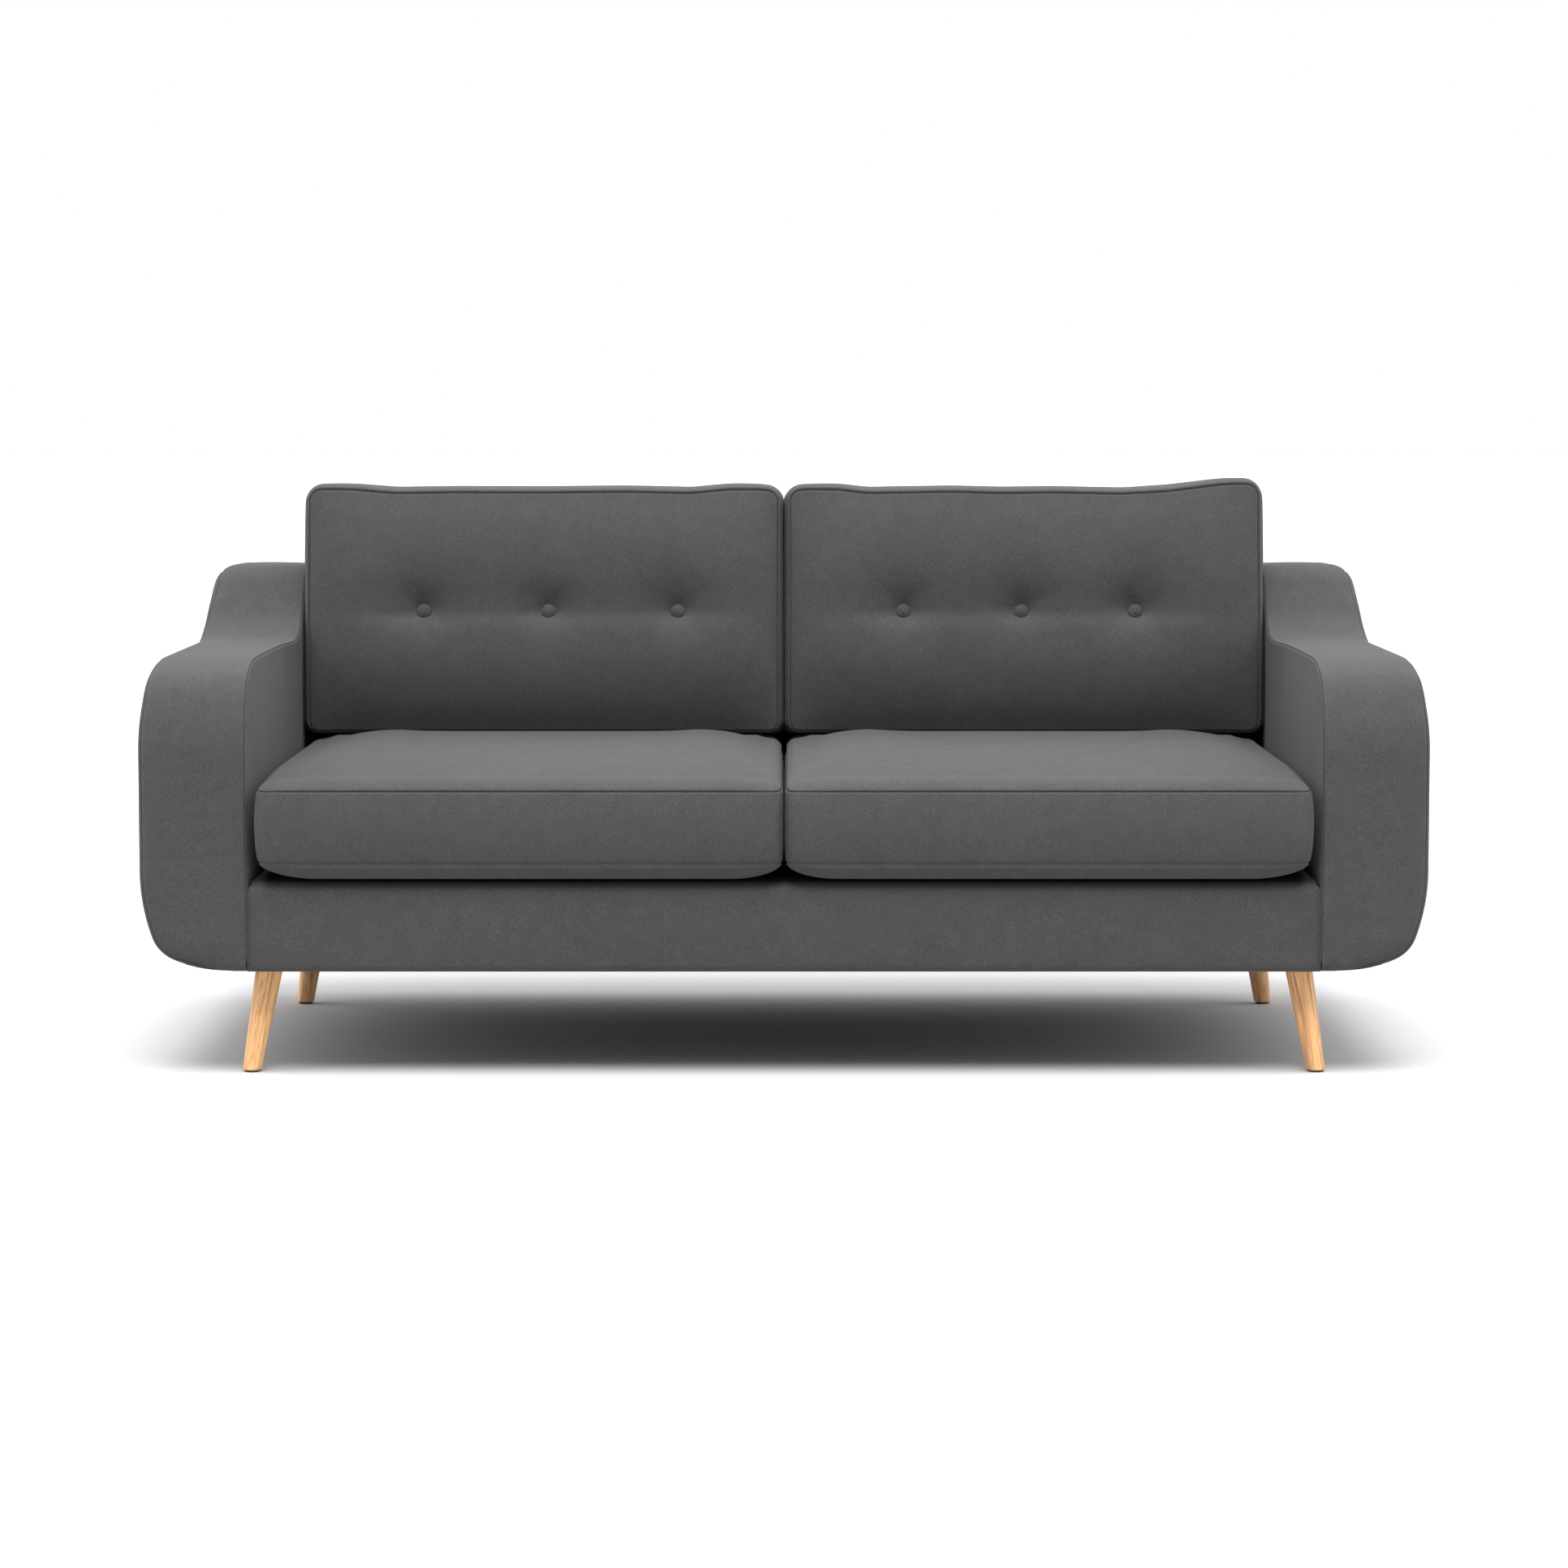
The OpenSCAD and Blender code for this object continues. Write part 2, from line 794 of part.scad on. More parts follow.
// Slider body and its pull, riding on the face of the tape
module zip_slider() {
    color(steel_colour)
        translate([-slider_l / 2, 0, -slider_w / 2]) {
            cube([slider_l, 1.8, slider_w]);
            translate([slider_l - 1, 0.4, slider_w / 2 - 2])
                cube([18, 1, 4]);
        }
}

module seat_zip_slider(right) {
    side(right)
        translate([zip_mid_x - zip_l / 2 + 12, y_of(seat_t1 - 0.1), seat_zip_z])
            zip_slider();
}

// ---------------------------------------------------------------- back cushions

back_x0 = 2.5;
back_x1 = arm_in_x - 14;
back_z0 = seat_z + 0.6;
back_face_t = 582; // front of the cushion at its foot
fill_r = 34; // rounding of the cushion's long edges
low_h = 49; // height at which its rear face starts
top_taper = 8; // how much thinner it is at the top
brow_t = fill_r + 6; // how far behind its face the cushion is highest
bc_h = (back_cushion_z - back_z0 + brow_t * sin(back_lean)) / cos(back_lean);

// Back cushion seen from the side, before it is leant back: [depth, height]
function back_cushion_side(d) =
    let (r = fill_r)
    concat(
        arc([r, r], r - d, 180, 270, 4),
        arc([back_cushion_t - r, low_h], r - d, 290, 360, 4),
        arc([back_cushion_t - r - top_taper, bc_h - r], r - d, 0, 90, 4),
        arc([brow_t, bc_h - r], r - d, 90, 180, 4)
    );

// Depth of the cushion's rear face at a height above its foot
function rear_face(h) = back_cushion_t - top_taper * (h - low_h) / (bc_h - fill_r - low_h);

// Back cushion seen from the front
function back_cushion_front(d) =
    let (r = 24, x0 = back_x0 + d, x1 = back_x1 - d)
    concat(
        arc([x0 + r, -20], r, 180, 181, 1),
        [[x1, -20]],
        arc([x1 - r, bc_h - r - d], r, 0, 90, 5),
        arc([x0 + r, bc_h - r - d], r, 90, 180, 5)
    );

// Stands a piece, drawn from the foot of a back cushion, where the cushion leans
module at_back_cushion() {
    translate([0, y_of(back_face_t), back_z0])
        rotate([-back_lean, 0, 0])
            children();
}

module back_cushion(d) {
    intersection() {
        at_back_cushion()
            intersection() {
                rotate([90, 0, 90])
                    linear_extrude(height = back_x1 + 20)
                        polygon(back_cushion_side(d));
                translate([0, 300, 0])
                    rotate([90, 0, 0])
                        linear_extrude(height = 600)
                            polygon(back_cushion_front(d));
            }
        rail_box(0, big, 0, sofa_d, back_z0 + d, back_cushion_z + 300);
    }
}

back_mid_x = (back_x0 + back_x1) / 2;
left_buttons = [176, 390.5, 597]; // distances from the middle of the sofa
right_buttons = [197.6, 393, 582];
button_h = 200; // height of the buttons above the foot of the cushion
button_sink = 16; // depth of the dimple under a button
dimple_r = 60;

function button_xs(right) = right ? right_buttons : left_buttons;

// Shallow dimples that the buttons are pulled into, front and rear
module dimples(right, extra = 0) {
    at_back_cushion()
        for (x = button_xs(right))
            translate([x, button_sink - dimple_r, button_h])
                sphere(r = dimple_r + extra);
}

// Bores for the twine of the buttons
module twine_bores(right, d) {
    at_back_cushion()
        for (x = button_xs(right))
            translate([x, 0, button_h])
                rotate([-90, 0, 0])
                    cylinder(h = back_cushion_t + 20, d = d);
}

back_zip_h = 106; // height of the zip above the foot of the cushion

module back_zip_slot() {
    at_back_cushion()
        translate([back_mid_x - zip_l / 2 - 1, back_cushion_t - 10, back_zip_h - tape_w / 2 - fit])
            cube([zip_l + 2, 20, tape_w + 2 * fit]);
}

module back_cushion_cover(right) {
    color(cloth_colour)
        side(right)
            difference() {
                back_cushion(0);
                difference() {
                    back_cushion(cloth_t);
                    dimples(right, cloth_t);
                }
                dimples(right);
                twine_bores(right, 3);
                back_zip_slot();
            }
}

module back_cushion_fill(right) {
    color(foam_colour)
        side(right)
            difference() {
                back_cushion(cloth_t + fit);
                dimples(right, cloth_t + fit);
                twine_bores(right, 3);
            }
}

module buttons(right) {
    color(cloth_colour)
        side(right)
            at_back_cushion()
                for (x = button_xs(right))
                    translate([x, button_sink - 1.6, button_h])
                        rotate([90, 0, 0])
                            intersection() {
                                cylinder(h = 12, d = button_d);
                                translate([0, 0, -12])
                                    sphere(r = 21);
                            }
}

// Twine through the cushion to a small washer behind it
module button_ties(right) {
    color(black_colour)
        side(right)
            at_back_cushion()
                for (x = button_xs(right))
                    translate([x, 0, button_h]) {
                        translate([0, button_sink - 1, 0])
                            rotate([-90, 0, 0])
                                cylinder(h = rear_face(button_h) - button_sink + 1, d = 1.6);
                        translate([0, rear_face(button_h) + fit, 0])
                            rotate([-90, 0, 0])
                                cylinder(h = 1.4, d = 14);
                    }
}

module back_zip(right) {
    color(black_colour)
        side(right)
            at_back_cushion()
                translate([back_mid_x - zip_l / 2, rear_face(back_zip_h) - 1.5, back_zip_h - tape_w / 2])
                    cube([zip_l, 1, tape_w]);
}

module back_zip_slider(right) {
    side(right)
        at_back_cushion()
            translate([back_mid_x - zip_l / 2 + 12, rear_face(back_zip_h) - 0.2, back_zip_h])
                zip_slider();
}

// ---------------------------------------------------------------- the sofa

front_rail();
rear_rail();
side_rails();
centre_rail();
corner_blocks();
leg_plates();
plate_screws();
leg(true, false);  // leg_front_left
leg(true, true);  // leg_front_right
leg(false, false);  // leg_rear_left
leg(false, true);  // leg_rear_right
hanger_bolts();
foot_glides();
seat_springs();
spring_clips();
deck_pad();
deck_cover();
front_border_pad();
front_border_cover();
dust_cover();
arm_panels(false);  // arm_panels_left
arm_panels(true);  // arm_panels_right
arm_rails(false);  // arm_rails_left
arm_rails(true);  // arm_rails_right
arm_pad(false);  // arm_pad_left
arm_pad(true);  // arm_pad_right
arm_band_cover(false);  // arm_band_cover_left
arm_band_cover(true);  // arm_band_cover_right
arm_inner_cover(false);  // arm_inner_cover_left
arm_inner_cover(true);  // arm_inner_cover_right
arm_outer_cover(false);  // arm_outer_cover_left
arm_outer_cover(true);  // arm_outer_cover_right
arm_bolts();
back_top_rail();
back_lower_rail();
back_posts();
back_webbing();
back_pad();
back_inside_cover();
back_outside_cover();
seat_cushion_cover(false);  // seat_cushion_cover_left
seat_cushion_cover(true);  // seat_cushion_cover_right
seat_cushion_foam(false);  // seat_cushion_foam_left
seat_cushion_foam(true);  // seat_cushion_foam_right
seat_zip(false);  // seat_zip_left
seat_zip(true);  // seat_zip_right
seat_zip_slider(false);  // seat_zip_slider_left
seat_zip_slider(true);  // seat_zip_slider_right
back_cushion_cover(false);  // back_cushion_cover_left
back_cushion_cover(true);  // back_cushion_cover_right
back_cushion_fill(false);  // back_cushion_fill_left
back_cushion_fill(true);  // back_cushion_fill_right
back_zip(false);  // back_zip_left
back_zip(true);  // back_zip_right
back_zip_slider(false);  // back_zip_slider_left
back_zip_slider(true);  // back_zip_slider_right
buttons(false);  // buttons_left
buttons(true);  // buttons_right
button_ties(false);  // button_ties_left
button_ties(true);  // button_ties_right
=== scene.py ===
"""Looks of the two-seater sofa: its upholstery, cushions, legs and fittings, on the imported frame.

Everything is in metres. Besides the frame's x, y and z, depths t are counted from the front face
of the sofa backwards. Right-hand pieces are made first, and left-hand ones are their mirror image.
"""

import math

import bpy
import numpy as np
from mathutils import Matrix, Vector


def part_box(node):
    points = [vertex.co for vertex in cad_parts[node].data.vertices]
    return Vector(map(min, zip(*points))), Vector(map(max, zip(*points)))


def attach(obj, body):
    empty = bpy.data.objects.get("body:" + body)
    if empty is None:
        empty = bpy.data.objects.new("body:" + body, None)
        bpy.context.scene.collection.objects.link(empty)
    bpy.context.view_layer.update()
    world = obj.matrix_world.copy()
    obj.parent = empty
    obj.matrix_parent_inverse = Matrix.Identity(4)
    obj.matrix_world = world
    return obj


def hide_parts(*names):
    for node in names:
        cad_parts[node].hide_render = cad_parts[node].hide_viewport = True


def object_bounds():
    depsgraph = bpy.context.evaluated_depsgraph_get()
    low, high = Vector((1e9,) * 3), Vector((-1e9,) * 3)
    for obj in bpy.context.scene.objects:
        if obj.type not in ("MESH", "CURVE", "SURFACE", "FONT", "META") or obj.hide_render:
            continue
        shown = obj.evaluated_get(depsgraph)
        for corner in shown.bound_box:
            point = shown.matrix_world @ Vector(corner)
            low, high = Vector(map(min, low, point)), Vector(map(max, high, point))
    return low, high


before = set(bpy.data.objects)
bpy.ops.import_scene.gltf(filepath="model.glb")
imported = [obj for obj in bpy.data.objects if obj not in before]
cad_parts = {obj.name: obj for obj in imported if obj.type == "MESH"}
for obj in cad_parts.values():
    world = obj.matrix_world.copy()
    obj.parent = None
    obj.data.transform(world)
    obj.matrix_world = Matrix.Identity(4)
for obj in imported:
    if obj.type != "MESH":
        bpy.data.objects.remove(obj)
cad_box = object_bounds()

MM = 0.001
CLOTH = 1.5 * MM  # thickness of the covering cloth

# Places from the frame
outer_lo, outer_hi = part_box("arm_outer_cover_right")
inner_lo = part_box("arm_inner_cover_right")[0]
border_lo, border_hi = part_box("front_border_cover")
deck_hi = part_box("deck_cover")[1]
lining_lo, lining_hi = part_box("back_inside_cover")
outside_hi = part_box("back_outside_cover")[1]
FRONT_Y = outer_lo.y
DEPTH = cad_box[1].y - FRONT_Y
HALF_W = outer_hi.x
BASE_Z = outer_lo.z - 3.6 * MM  # the covers hang a little below the frame
DECK_Z = deck_hi.z
ARM_IN = inner_lo.x + 9 * MM
WING_IN = 13 * MM  # how far the arms close in beside the back cushions,
WING_T = 0.42  # and where they begin to
BACK_FOOT_T = 0.62  # depth from which the inner panels lie flat
LEAN = math.radians(8)  # of the back and its cushions


# ---------------------------------------------------------------- outlines


def arc(centre, radius, start, end, step=0.003):
    """Points on a circular arc between two angles in degrees."""
    count = max(3, int(abs(math.radians(end - start)) * radius / step) + 2)
    a = np.radians(np.linspace(start, end, count))
    return np.array(centre) + radius * np.column_stack([np.cos(a), np.sin(a)])


def turned(angle, length):
    """A step of that length at that angle in degrees."""
    return length * np.array([math.cos(math.radians(angle)), math.sin(math.radians(angle))])


def unit(v):
    return v / np.maximum(np.linalg.norm(v, axis=-1, keepdims=True), 1e-12)


def smooth(x):
    """0 below 0, 1 above 1 and an S-curve between them."""
    x = np.clip(x, 0, 1)
    return x * x * (3 - 2 * x)


def roll(distance, reach, power, root=1):
    """Rise of a crown from 0 at a seam to 1 at its reach."""
    return (1 - (1 - np.clip(distance / reach, 0, 1)) ** power) ** (1 / root)


class Outline:
    """A line in a plane with the solid on one side of it: left is -1 and right is 1."""

    def __init__(self, points, outside, step=0.004):
        points = np.array(points, float)
        keep = np.r_[True, np.linalg.norm(np.diff(points, axis=0), axis=1) > 1e-7]
        points = points[keep]
        run = np.r_[0, np.cumsum(np.linalg.norm(np.diff(points, axis=0), axis=1))]
        self.s = np.linspace(0, run[-1], int(run[-1] / step) + 2)
        self.p = np.column_stack([np.interp(self.s, run, points[:, k]) for k in (0, 1)])
        tangent = unit(np.gradient(self.p, axis=0))
        self.n = outside * np.column_stack([tangent[:, 1], -tangent[:, 0]])
        self.length = run[-1]

    def at(self, s):
        return np.stack([np.interp(s, self.s, self.p[:, k]) for k in (0, 1)], -1)

    def measure(self, q):
        """How far each point is outside the line, and the line's outward direction there."""
        distance, normal = np.empty(len(q)), np.empty((len(q), 2))
        step = self.s[1]
        for i in range(0, len(q), 4096):
            part = q[i : i + 4096]
            near = ((part[:, None] - self.p[None]) ** 2).sum(2).argmin(1)
            near = np.clip(near, 1, len(self.p) - 2)
            ahead = ((part - self.p[near]) * (self.p[near + 1] - self.p[near - 1])).sum(1)
            side = np.where(ahead >= 0, 1, -1)
            share = np.clip(np.abs(ahead) / (2 * step * step), 0, 1)[:, None]
            n = unit(self.n[near] * (1 - share) + self.n[near + side] * share)
            base = self.p[near] * (1 - share) + self.p[near + side] * share
            distance[i : i + 4096] = ((part - base) * n).sum(1)
            normal[i : i + 4096] = n
        return distance, normal


ARM_Z = 629.5 * MM  # height of the seams along the flat part of the arm
SWEEP_T = 548.8 * MM  # depth at which it starts to sweep up
SWEEP_R = 140 * MM
WING_R = 70 * MM  # rounding between the sweep and the rear end
SWEEP_ANGLE = 52  # degrees
SWEEP_LENGTH = 44.1 * MM  # of its straight part
CHEST_R, NOSE_R, BROW_R = 180 * MM, 75 * MM, 282 * MM  # curves from the front up onto the top
CHEST_TURN, NOSE_TURN = 150, 110  # degrees where one curve meets the next
CHEST_DROP = 140 * MM  # from the top to where the front is upright
TOP_RISE = -1  # of the rear end, in degrees
REAR_R = 22 * MM
FOOT_R = 12 * MM
PANEL_REAR_T = DEPTH - 1 * MM  # the outside back closes the last millimetre
S_FRONT = 0.5  # how much of the underside its side outline starts with
SEAM_Z = outside_hi.z  # where the covers meet the outside back


def arm_side_outline():
    """The arm from the side, as (t, z): along the underside, up the front and back over the top."""
    chest = np.array([CHEST_R, ARM_Z - CHEST_DROP])
    nose = chest + turned(CHEST_TURN, CHEST_R - NOSE_R)
    brow = nose + turned(NOSE_TURN, NOSE_R - BROW_R)
    sweep = np.array([SWEEP_T, ARM_Z + SWEEP_R])
    wing = sweep + turned(SWEEP_ANGLE - 90, SWEEP_R + WING_R) + turned(SWEEP_ANGLE, SWEEP_LENGTH)
    wing_end = wing + turned(90 + TOP_RISE, WING_R)
    run = PANEL_REAR_T - REAR_R - wing_end[0]
    top = wing_end[1] + run * math.tan(math.radians(TOP_RISE))
    rear = [PANEL_REAR_T - REAR_R, top - REAR_R / math.cos(math.radians(TOP_RISE))]
    return np.concatenate(
        [
            [[S_FRONT, BASE_Z]],
            arc([FOOT_R, BASE_Z + FOOT_R], FOOT_R, 270, 180),
            arc(chest, CHEST_R, 180, CHEST_TURN),
            arc(nose, NOSE_R, CHEST_TURN, NOSE_TURN),
            arc(brow, BROW_R, NOSE_TURN, 90),
            arc(sweep, SWEEP_R, 270, 270 + SWEEP_ANGLE),
            arc(wing, WING_R, 90 + SWEEP_ANGLE, 90 + TOP_RISE),
            arc(rear, REAR_R, 90 + TOP_RISE, 0),
            [[PANEL_REAR_T, BASE_Z]],
        ]
    )


HEEL_R = (300 * MM, 58 * MM, 300 * MM)
HEEL_TURN = (270, 288, 340, 360)  # degrees between which those radii run
KNEE_Z = BASE_Z + 152.6 * MM
WAIST_R, WAIST_Z = 480 * MM, 0.5  # the outside leans in above this height
OUTER_LEAN = 6  # in degrees
SOLE_START = 0.78


def arm_edge_outline():
    """The arm from the front, as (x, z): along the underside, round the heel and up the outside."""
    knee = np.array([HALF_W - HEEL_R[2], KNEE_Z])
    hip = knee + turned(HEEL_TURN[2], HEEL_R[2] - HEEL_R[1])
    sole = hip + turned(HEEL_TURN[1], HEEL_R[1] - HEEL_R[0])
    waist = [HALF_W - WAIST_R, WAIST_Z]
    top = arc(waist, WAIST_R, 0, OUTER_LEAN)
    return np.concatenate(
        [
            [[SOLE_START, BASE_Z]],
            arc(sole, HEEL_R[0], HEEL_TURN[0], HEEL_TURN[1]),
            arc(hip, HEEL_R[1], HEEL_TURN[1], HEEL_TURN[2]),
            arc(knee, HEEL_R[2], HEEL_TURN[2], HEEL_TURN[3]),
            top,
            [top[-1] + turned(90 + OUTER_LEAN, 0.26)],
        ]
    ), sole[0]


SIDE = Outline(arm_side_outline(), outside=-1)
edge_points, SOLE_X = arm_edge_outline()
EDGE = Outline(edge_points, outside=1)
OUTER_EDGE_R = 19 * MM  # rounding of the arm's outer edges
SHOULDER_R = 34 * MM  # and above the height below
SHOULDER_Z = 0.665
INNER_EDGE_R = 3 * MM
INNER_STRIP = 12 * MM  # width of the part that belongs to the inner face
REAR_EDGE_R = 6 * MM


def edge_run(z):
    """Arc length along EDGE at a height above the underside."""
    rising = EDGE.p[:, 1] > BASE_Z + 1e-5
    return np.interp(z, EDGE.p[rising, 1], EDGE.s[rising])


def edge_x(z):
    return EDGE.at(edge_run(z))[:, 0]


def inner_x(t):
    """Inner face of the arm: softly crowned along the seat, and closing in beside the back."""
    return ARM_IN - WING_IN * smooth((t - WING_T) / 0.2)


def rounded_join(d_one, n_one, d_two, n_two, radius):
    """How far points are outside the rounded edge of two surfaces, and the outward direction."""
    radius = radius * (1 - np.clip((n_one * n_two).sum(1), 0, 1)) + 1e-6
    u, v = np.maximum(d_one + radius, 0), np.maximum(d_two + radius, 0)
    both = (u > 0) & (v > 0)
    distance = np.where(both, np.sqrt(u * u + v * v) - radius, np.maximum(d_one, d_two))
    rounded = unit(u[:, None] * n_one + v[:, None] * n_two)
    flat = np.where((d_one > d_two)[:, None], n_one, n_two)
    return distance, np.where(both[:, None], rounded, flat)


def arm_distance(p):
    """How far each point (x, t, z) is outside the rounded arm, and the outward direction there."""
    zero = np.zeros(len(p))
    d_edge, n_edge = EDGE.measure(p[:, [0, 2]])
    d_side, n_side = SIDE.measure(p[:, [1, 2]])
    across = np.column_stack([n_edge[:, 0], zero, n_edge[:, 1]])
    along = np.column_stack([zero, n_side[:, 0], n_side[:, 1]])
    past_inner = p[:, 0] - ARM_IN - INNER_STRIP
    outer = past_inner > 0
    d_across = np.where(outer, d_edge, inner_x(p[:, 1]) - p[:, 0])
    across = np.where(outer[:, None], across, [-1.0, 0, 0])
    rear = smooth((p[:, 1] - (DEPTH - 0.05)) / 0.03) * smooth((SEAM_Z - p[:, 2]) / 0.02)
    shoulder = smooth((p[:, 2] - SHOULDER_Z) / 0.05)
    outer_r = OUTER_EDGE_R + (SHOULDER_R - OUTER_EDGE_R) * shoulder
    outer_r = (outer_r * (1 - rear) + REAR_EDGE_R * rear) * smooth(past_inner / (50 * MM))
    return rounded_join(d_across, across, d_side, along, np.where(outer, outer_r, INNER_EDGE_R))


def onto_arm(p):
    """Moves points near the arm onto its rounded surface. Also returns the outward directions."""
    shape = p.shape
    p = p.reshape(-1, 3).copy()
    for _ in range(6):
        distance, normal = arm_distance(p)
        p -= distance[:, None] * normal
    return p.reshape(shape), normal.reshape(shape)


# ---------------------------------------------------------------- panels of cloth

# The edge of a panel dives into its seam: distances from the seam, and depths there
EDGE_E = np.array([0.6, 0.6, 0.6, 1.0, 1.6, 2.5, 3.8, 5.5, 8.0, 12.0]) * MM
EDGE_SINK = np.array([7.0, 4.6, 3.0, 1.8, 0.9, 0.3, 0.0, -0.12, 0.0, 0.0]) * MM
TUCKED = len(EDGE_E)


def strip(near, far, middle, row_sink=None):
    """A grid of plane points whose rows run from one seam to another, close together beside both.

    Also returns how far each point sinks into the seams, and its share of the way across.
    """
    span = far - near
    length = np.linalg.norm(span, axis=1)
    direction = unit(span)

    def offsets(seam):
        tangent = unit(np.gradient(seam, axis=0))
        slant = np.abs(tangent[:, 0] * direction[:, 1] - tangent[:, 1] * direction[:, 0])
        most = 0.45 * length[:, None] * np.arange(1, TUCKED + 1) / TUCKED
        return np.minimum(EDGE_E / np.clip(slant, 0.4, 1)[:, None], most)

    first, last = offsets(near), offsets(far)
    start, end = first[:, -1:], length[:, None] - last[:, -1:]
    between = start + (end - start) * np.linspace(0, 1, middle + 2)[1:-1]
    place = np.hstack([first, between, (length[:, None] - last)[:, ::-1]])
    sink = np.hstack([EDGE_SINK, np.zeros(middle), EDGE_SINK[::-1]])
    sink = np.tile(sink, (len(near), 1)) * np.clip(length / 0.02, 0, 1)[:, None]
    if row_sink is not None:
        sink = np.maximum(sink, row_sink[:, None])
    points = near[:, None] + direction[:, None] * place[:, :, None]
    return points, sink, place / np.maximum(length[:, None], 1e-9)


def level_strip(rows, half, middle, row_sink):
    """A strip whose rows run level, from one side of the sofa to the other."""
    near = np.column_stack([np.full(len(rows), -half), rows])
    return strip(near, near * [-1, 1], middle, row_sink)


def seamed(low, high, spacing, start=False):
    """Places from low to high, close together beside the seams, and the depths there.

    There is a seam at the high end, and at the low one if start is set.
    """
    seam_e, seam_sink = (EDGE_E, EDGE_SINK) if start else (np.zeros(1), np.zeros(1))
    a, b = low + seam_e, high - EDGE_E
    count = max(2, int((b[-1] - a[-1]) / spacing))
    middle = np.linspace(a[-1], b[-1], count + 1)[1:-1]
    places = np.concatenate([a, middle, b[::-1]])
    return places, np.concatenate([seam_sink, np.zeros(len(middle)), EDGE_SINK[::-1]])


def new_object(name, vertices, faces, slot):
    mesh = bpy.data.meshes.new(name)
    mesh.from_pydata(np.asarray(vertices).tolist(), [], [list(f) for f in faces])
    mesh.update()
    mesh.polygons.foreach_set("use_smooth", [True] * len(mesh.polygons))
    mesh.materials.append(materials[slot])
    piece = bpy.data.objects.new(name, mesh)
    bpy.context.scene.collection.objects.link(piece)
    return piece


def grid_normals(points):
    return unit(np.cross(np.gradient(points, axis=0), np.gradient(points, axis=1)))


def grid_quads(rows, columns, first=0):
    i, j = np.meshgrid(np.arange(rows - 1), np.arange(columns - 1), indexing="ij")
    a = first + (i * columns + j).ravel()
    return np.column_stack([a, a + columns, a + columns + 1, a + 1])


def shell_mesh(outer, outward, thickness):
    """Vertices and faces of a closed sheet whose outside is a grid of points."""
    rows, columns = outer.shape[:2]
    normal = grid_normals(outer)
    same_way = (normal * outward).sum() > 0
    if not same_way:
        normal = -normal
    inner = outer - normal * thickness
    count = rows * columns
    front, back = grid_quads(rows, columns), grid_quads(rows, columns, count)[:, ::-1]
    index = np.arange(count).reshape(rows, columns)
    loop = np.concatenate([index[0, :-1], index[:-1, -1], index[-1, :0:-1], index[:0:-1, 0]])
    after = np.roll(loop, -1)
    rim = np.column_stack([loop, after, after + count, loop + count])
    faces = np.concatenate([front, back, rim])
    if not same_way:
        faces = faces[:, ::-1]
    return np.concatenate([outer.reshape(-1, 3), inner.reshape(-1, 3)]), faces


def mirrored(vertices, faces, right):
    if right:
        return vertices, faces
    return vertices * [-1, 1, 1], [list(face)[::-1] for face in faces]


def cloth_piece(name, mesh, right, replaced, body="frame"):
    """A padded piece of the grey cloth, on the right or the left, from its (x, t, z) mesh."""
    vertices, faces = mirrored(*mesh, right)
    piece = new_object(name, vertices + [0, FRONT_Y, 0], faces, "grey_cloth")
    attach(piece, body)
    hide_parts(*replaced)


def side_name(right):
    return "right" if right else "left"


def bulge(share, power=0.7):
    """1 in the middle of a panel and 0 at its two seams."""
    return (4 * np.clip(share, 0, 1) * (1 - np.clip(share, 0, 1))) ** power


def above_sole(points):
    """0 on the underside, which stays flat, and 1 a little above it."""
    return smooth((points[..., 2] - BASE_Z) / (50 * MM))


def seam_rows(start, end, spacing):
    return np.linspace(start, end, max(4, int((end - start) / spacing) + 1))


def along_line(points, shares):
    run = np.r_[0, np.cumsum(np.linalg.norm(np.diff(points, axis=0), axis=1))]
    run = run / run[-1]
    return np.column_stack([np.interp(shares, run, np.array(points)[:, k]) for k in (0, 1)])


BAND_BULGE, OUTER_BULGE, INNER_CROWN = 3 * MM, 2.5 * MM, 6.5 * MM
CROWN_REACH = 0.14  # distance from the seam at which the inner panel is full
UNDER_T = 0.03  # how far the front band is turned under the arm
# Arc lengths along SIDE
S_UNDER = S_FRONT - UNDER_T  # where the front band starts,
S_END = SIDE.s[SIDE.p[:, 1] > SEAM_Z][-1]  # at the rear seam
LEVEL_Z = 0.36  # and at this height, above which the rows of the band lie level
PEAK = np.argmax(SIDE.p[:, 1])
S_LEVEL = np.interp(LEVEL_Z, SIDE.p[:PEAK, 1], SIDE.s[:PEAK])
ROW = 5.5 * MM


def arm_band():
    """The strip that comes from under the arm, up its front and back over its top."""
    low = np.linspace(S_UNDER, S_LEVEL, 60)
    under = [[x, S_UNDER] for x in np.linspace(ARM_IN, SOLE_X, 12)]
    z = SIDE.at(low)[:, 1]
    outer = np.array(under + np.column_stack([edge_x(z), low])[1:].tolist())
    share = np.linspace(0.01, 1, 70)
    near_low = along_line([[ARM_IN, S_UNDER], [ARM_IN, S_LEVEL]], share)
    far_low = along_line(outer, share)
    high = seam_rows(S_LEVEL, S_END, ROW)[1:]
    t, z = SIDE.at(high).T
    near = np.concatenate([near_low, np.column_stack([inner_x(t), high])])
    far = np.concatenate([far_low, np.column_stack([edge_x(z), high])])
    flat, sink, across = strip(near, far, 18)
    points, outward = onto_arm(np.dstack([flat[:, :, 0], SIDE.at(flat[:, :, 1])]))
    points += outward * (BAND_BULGE * bulge(across) * above_sole(points) - sink)[:, :, None]
    return shell_mesh(points, outward, CLOTH)


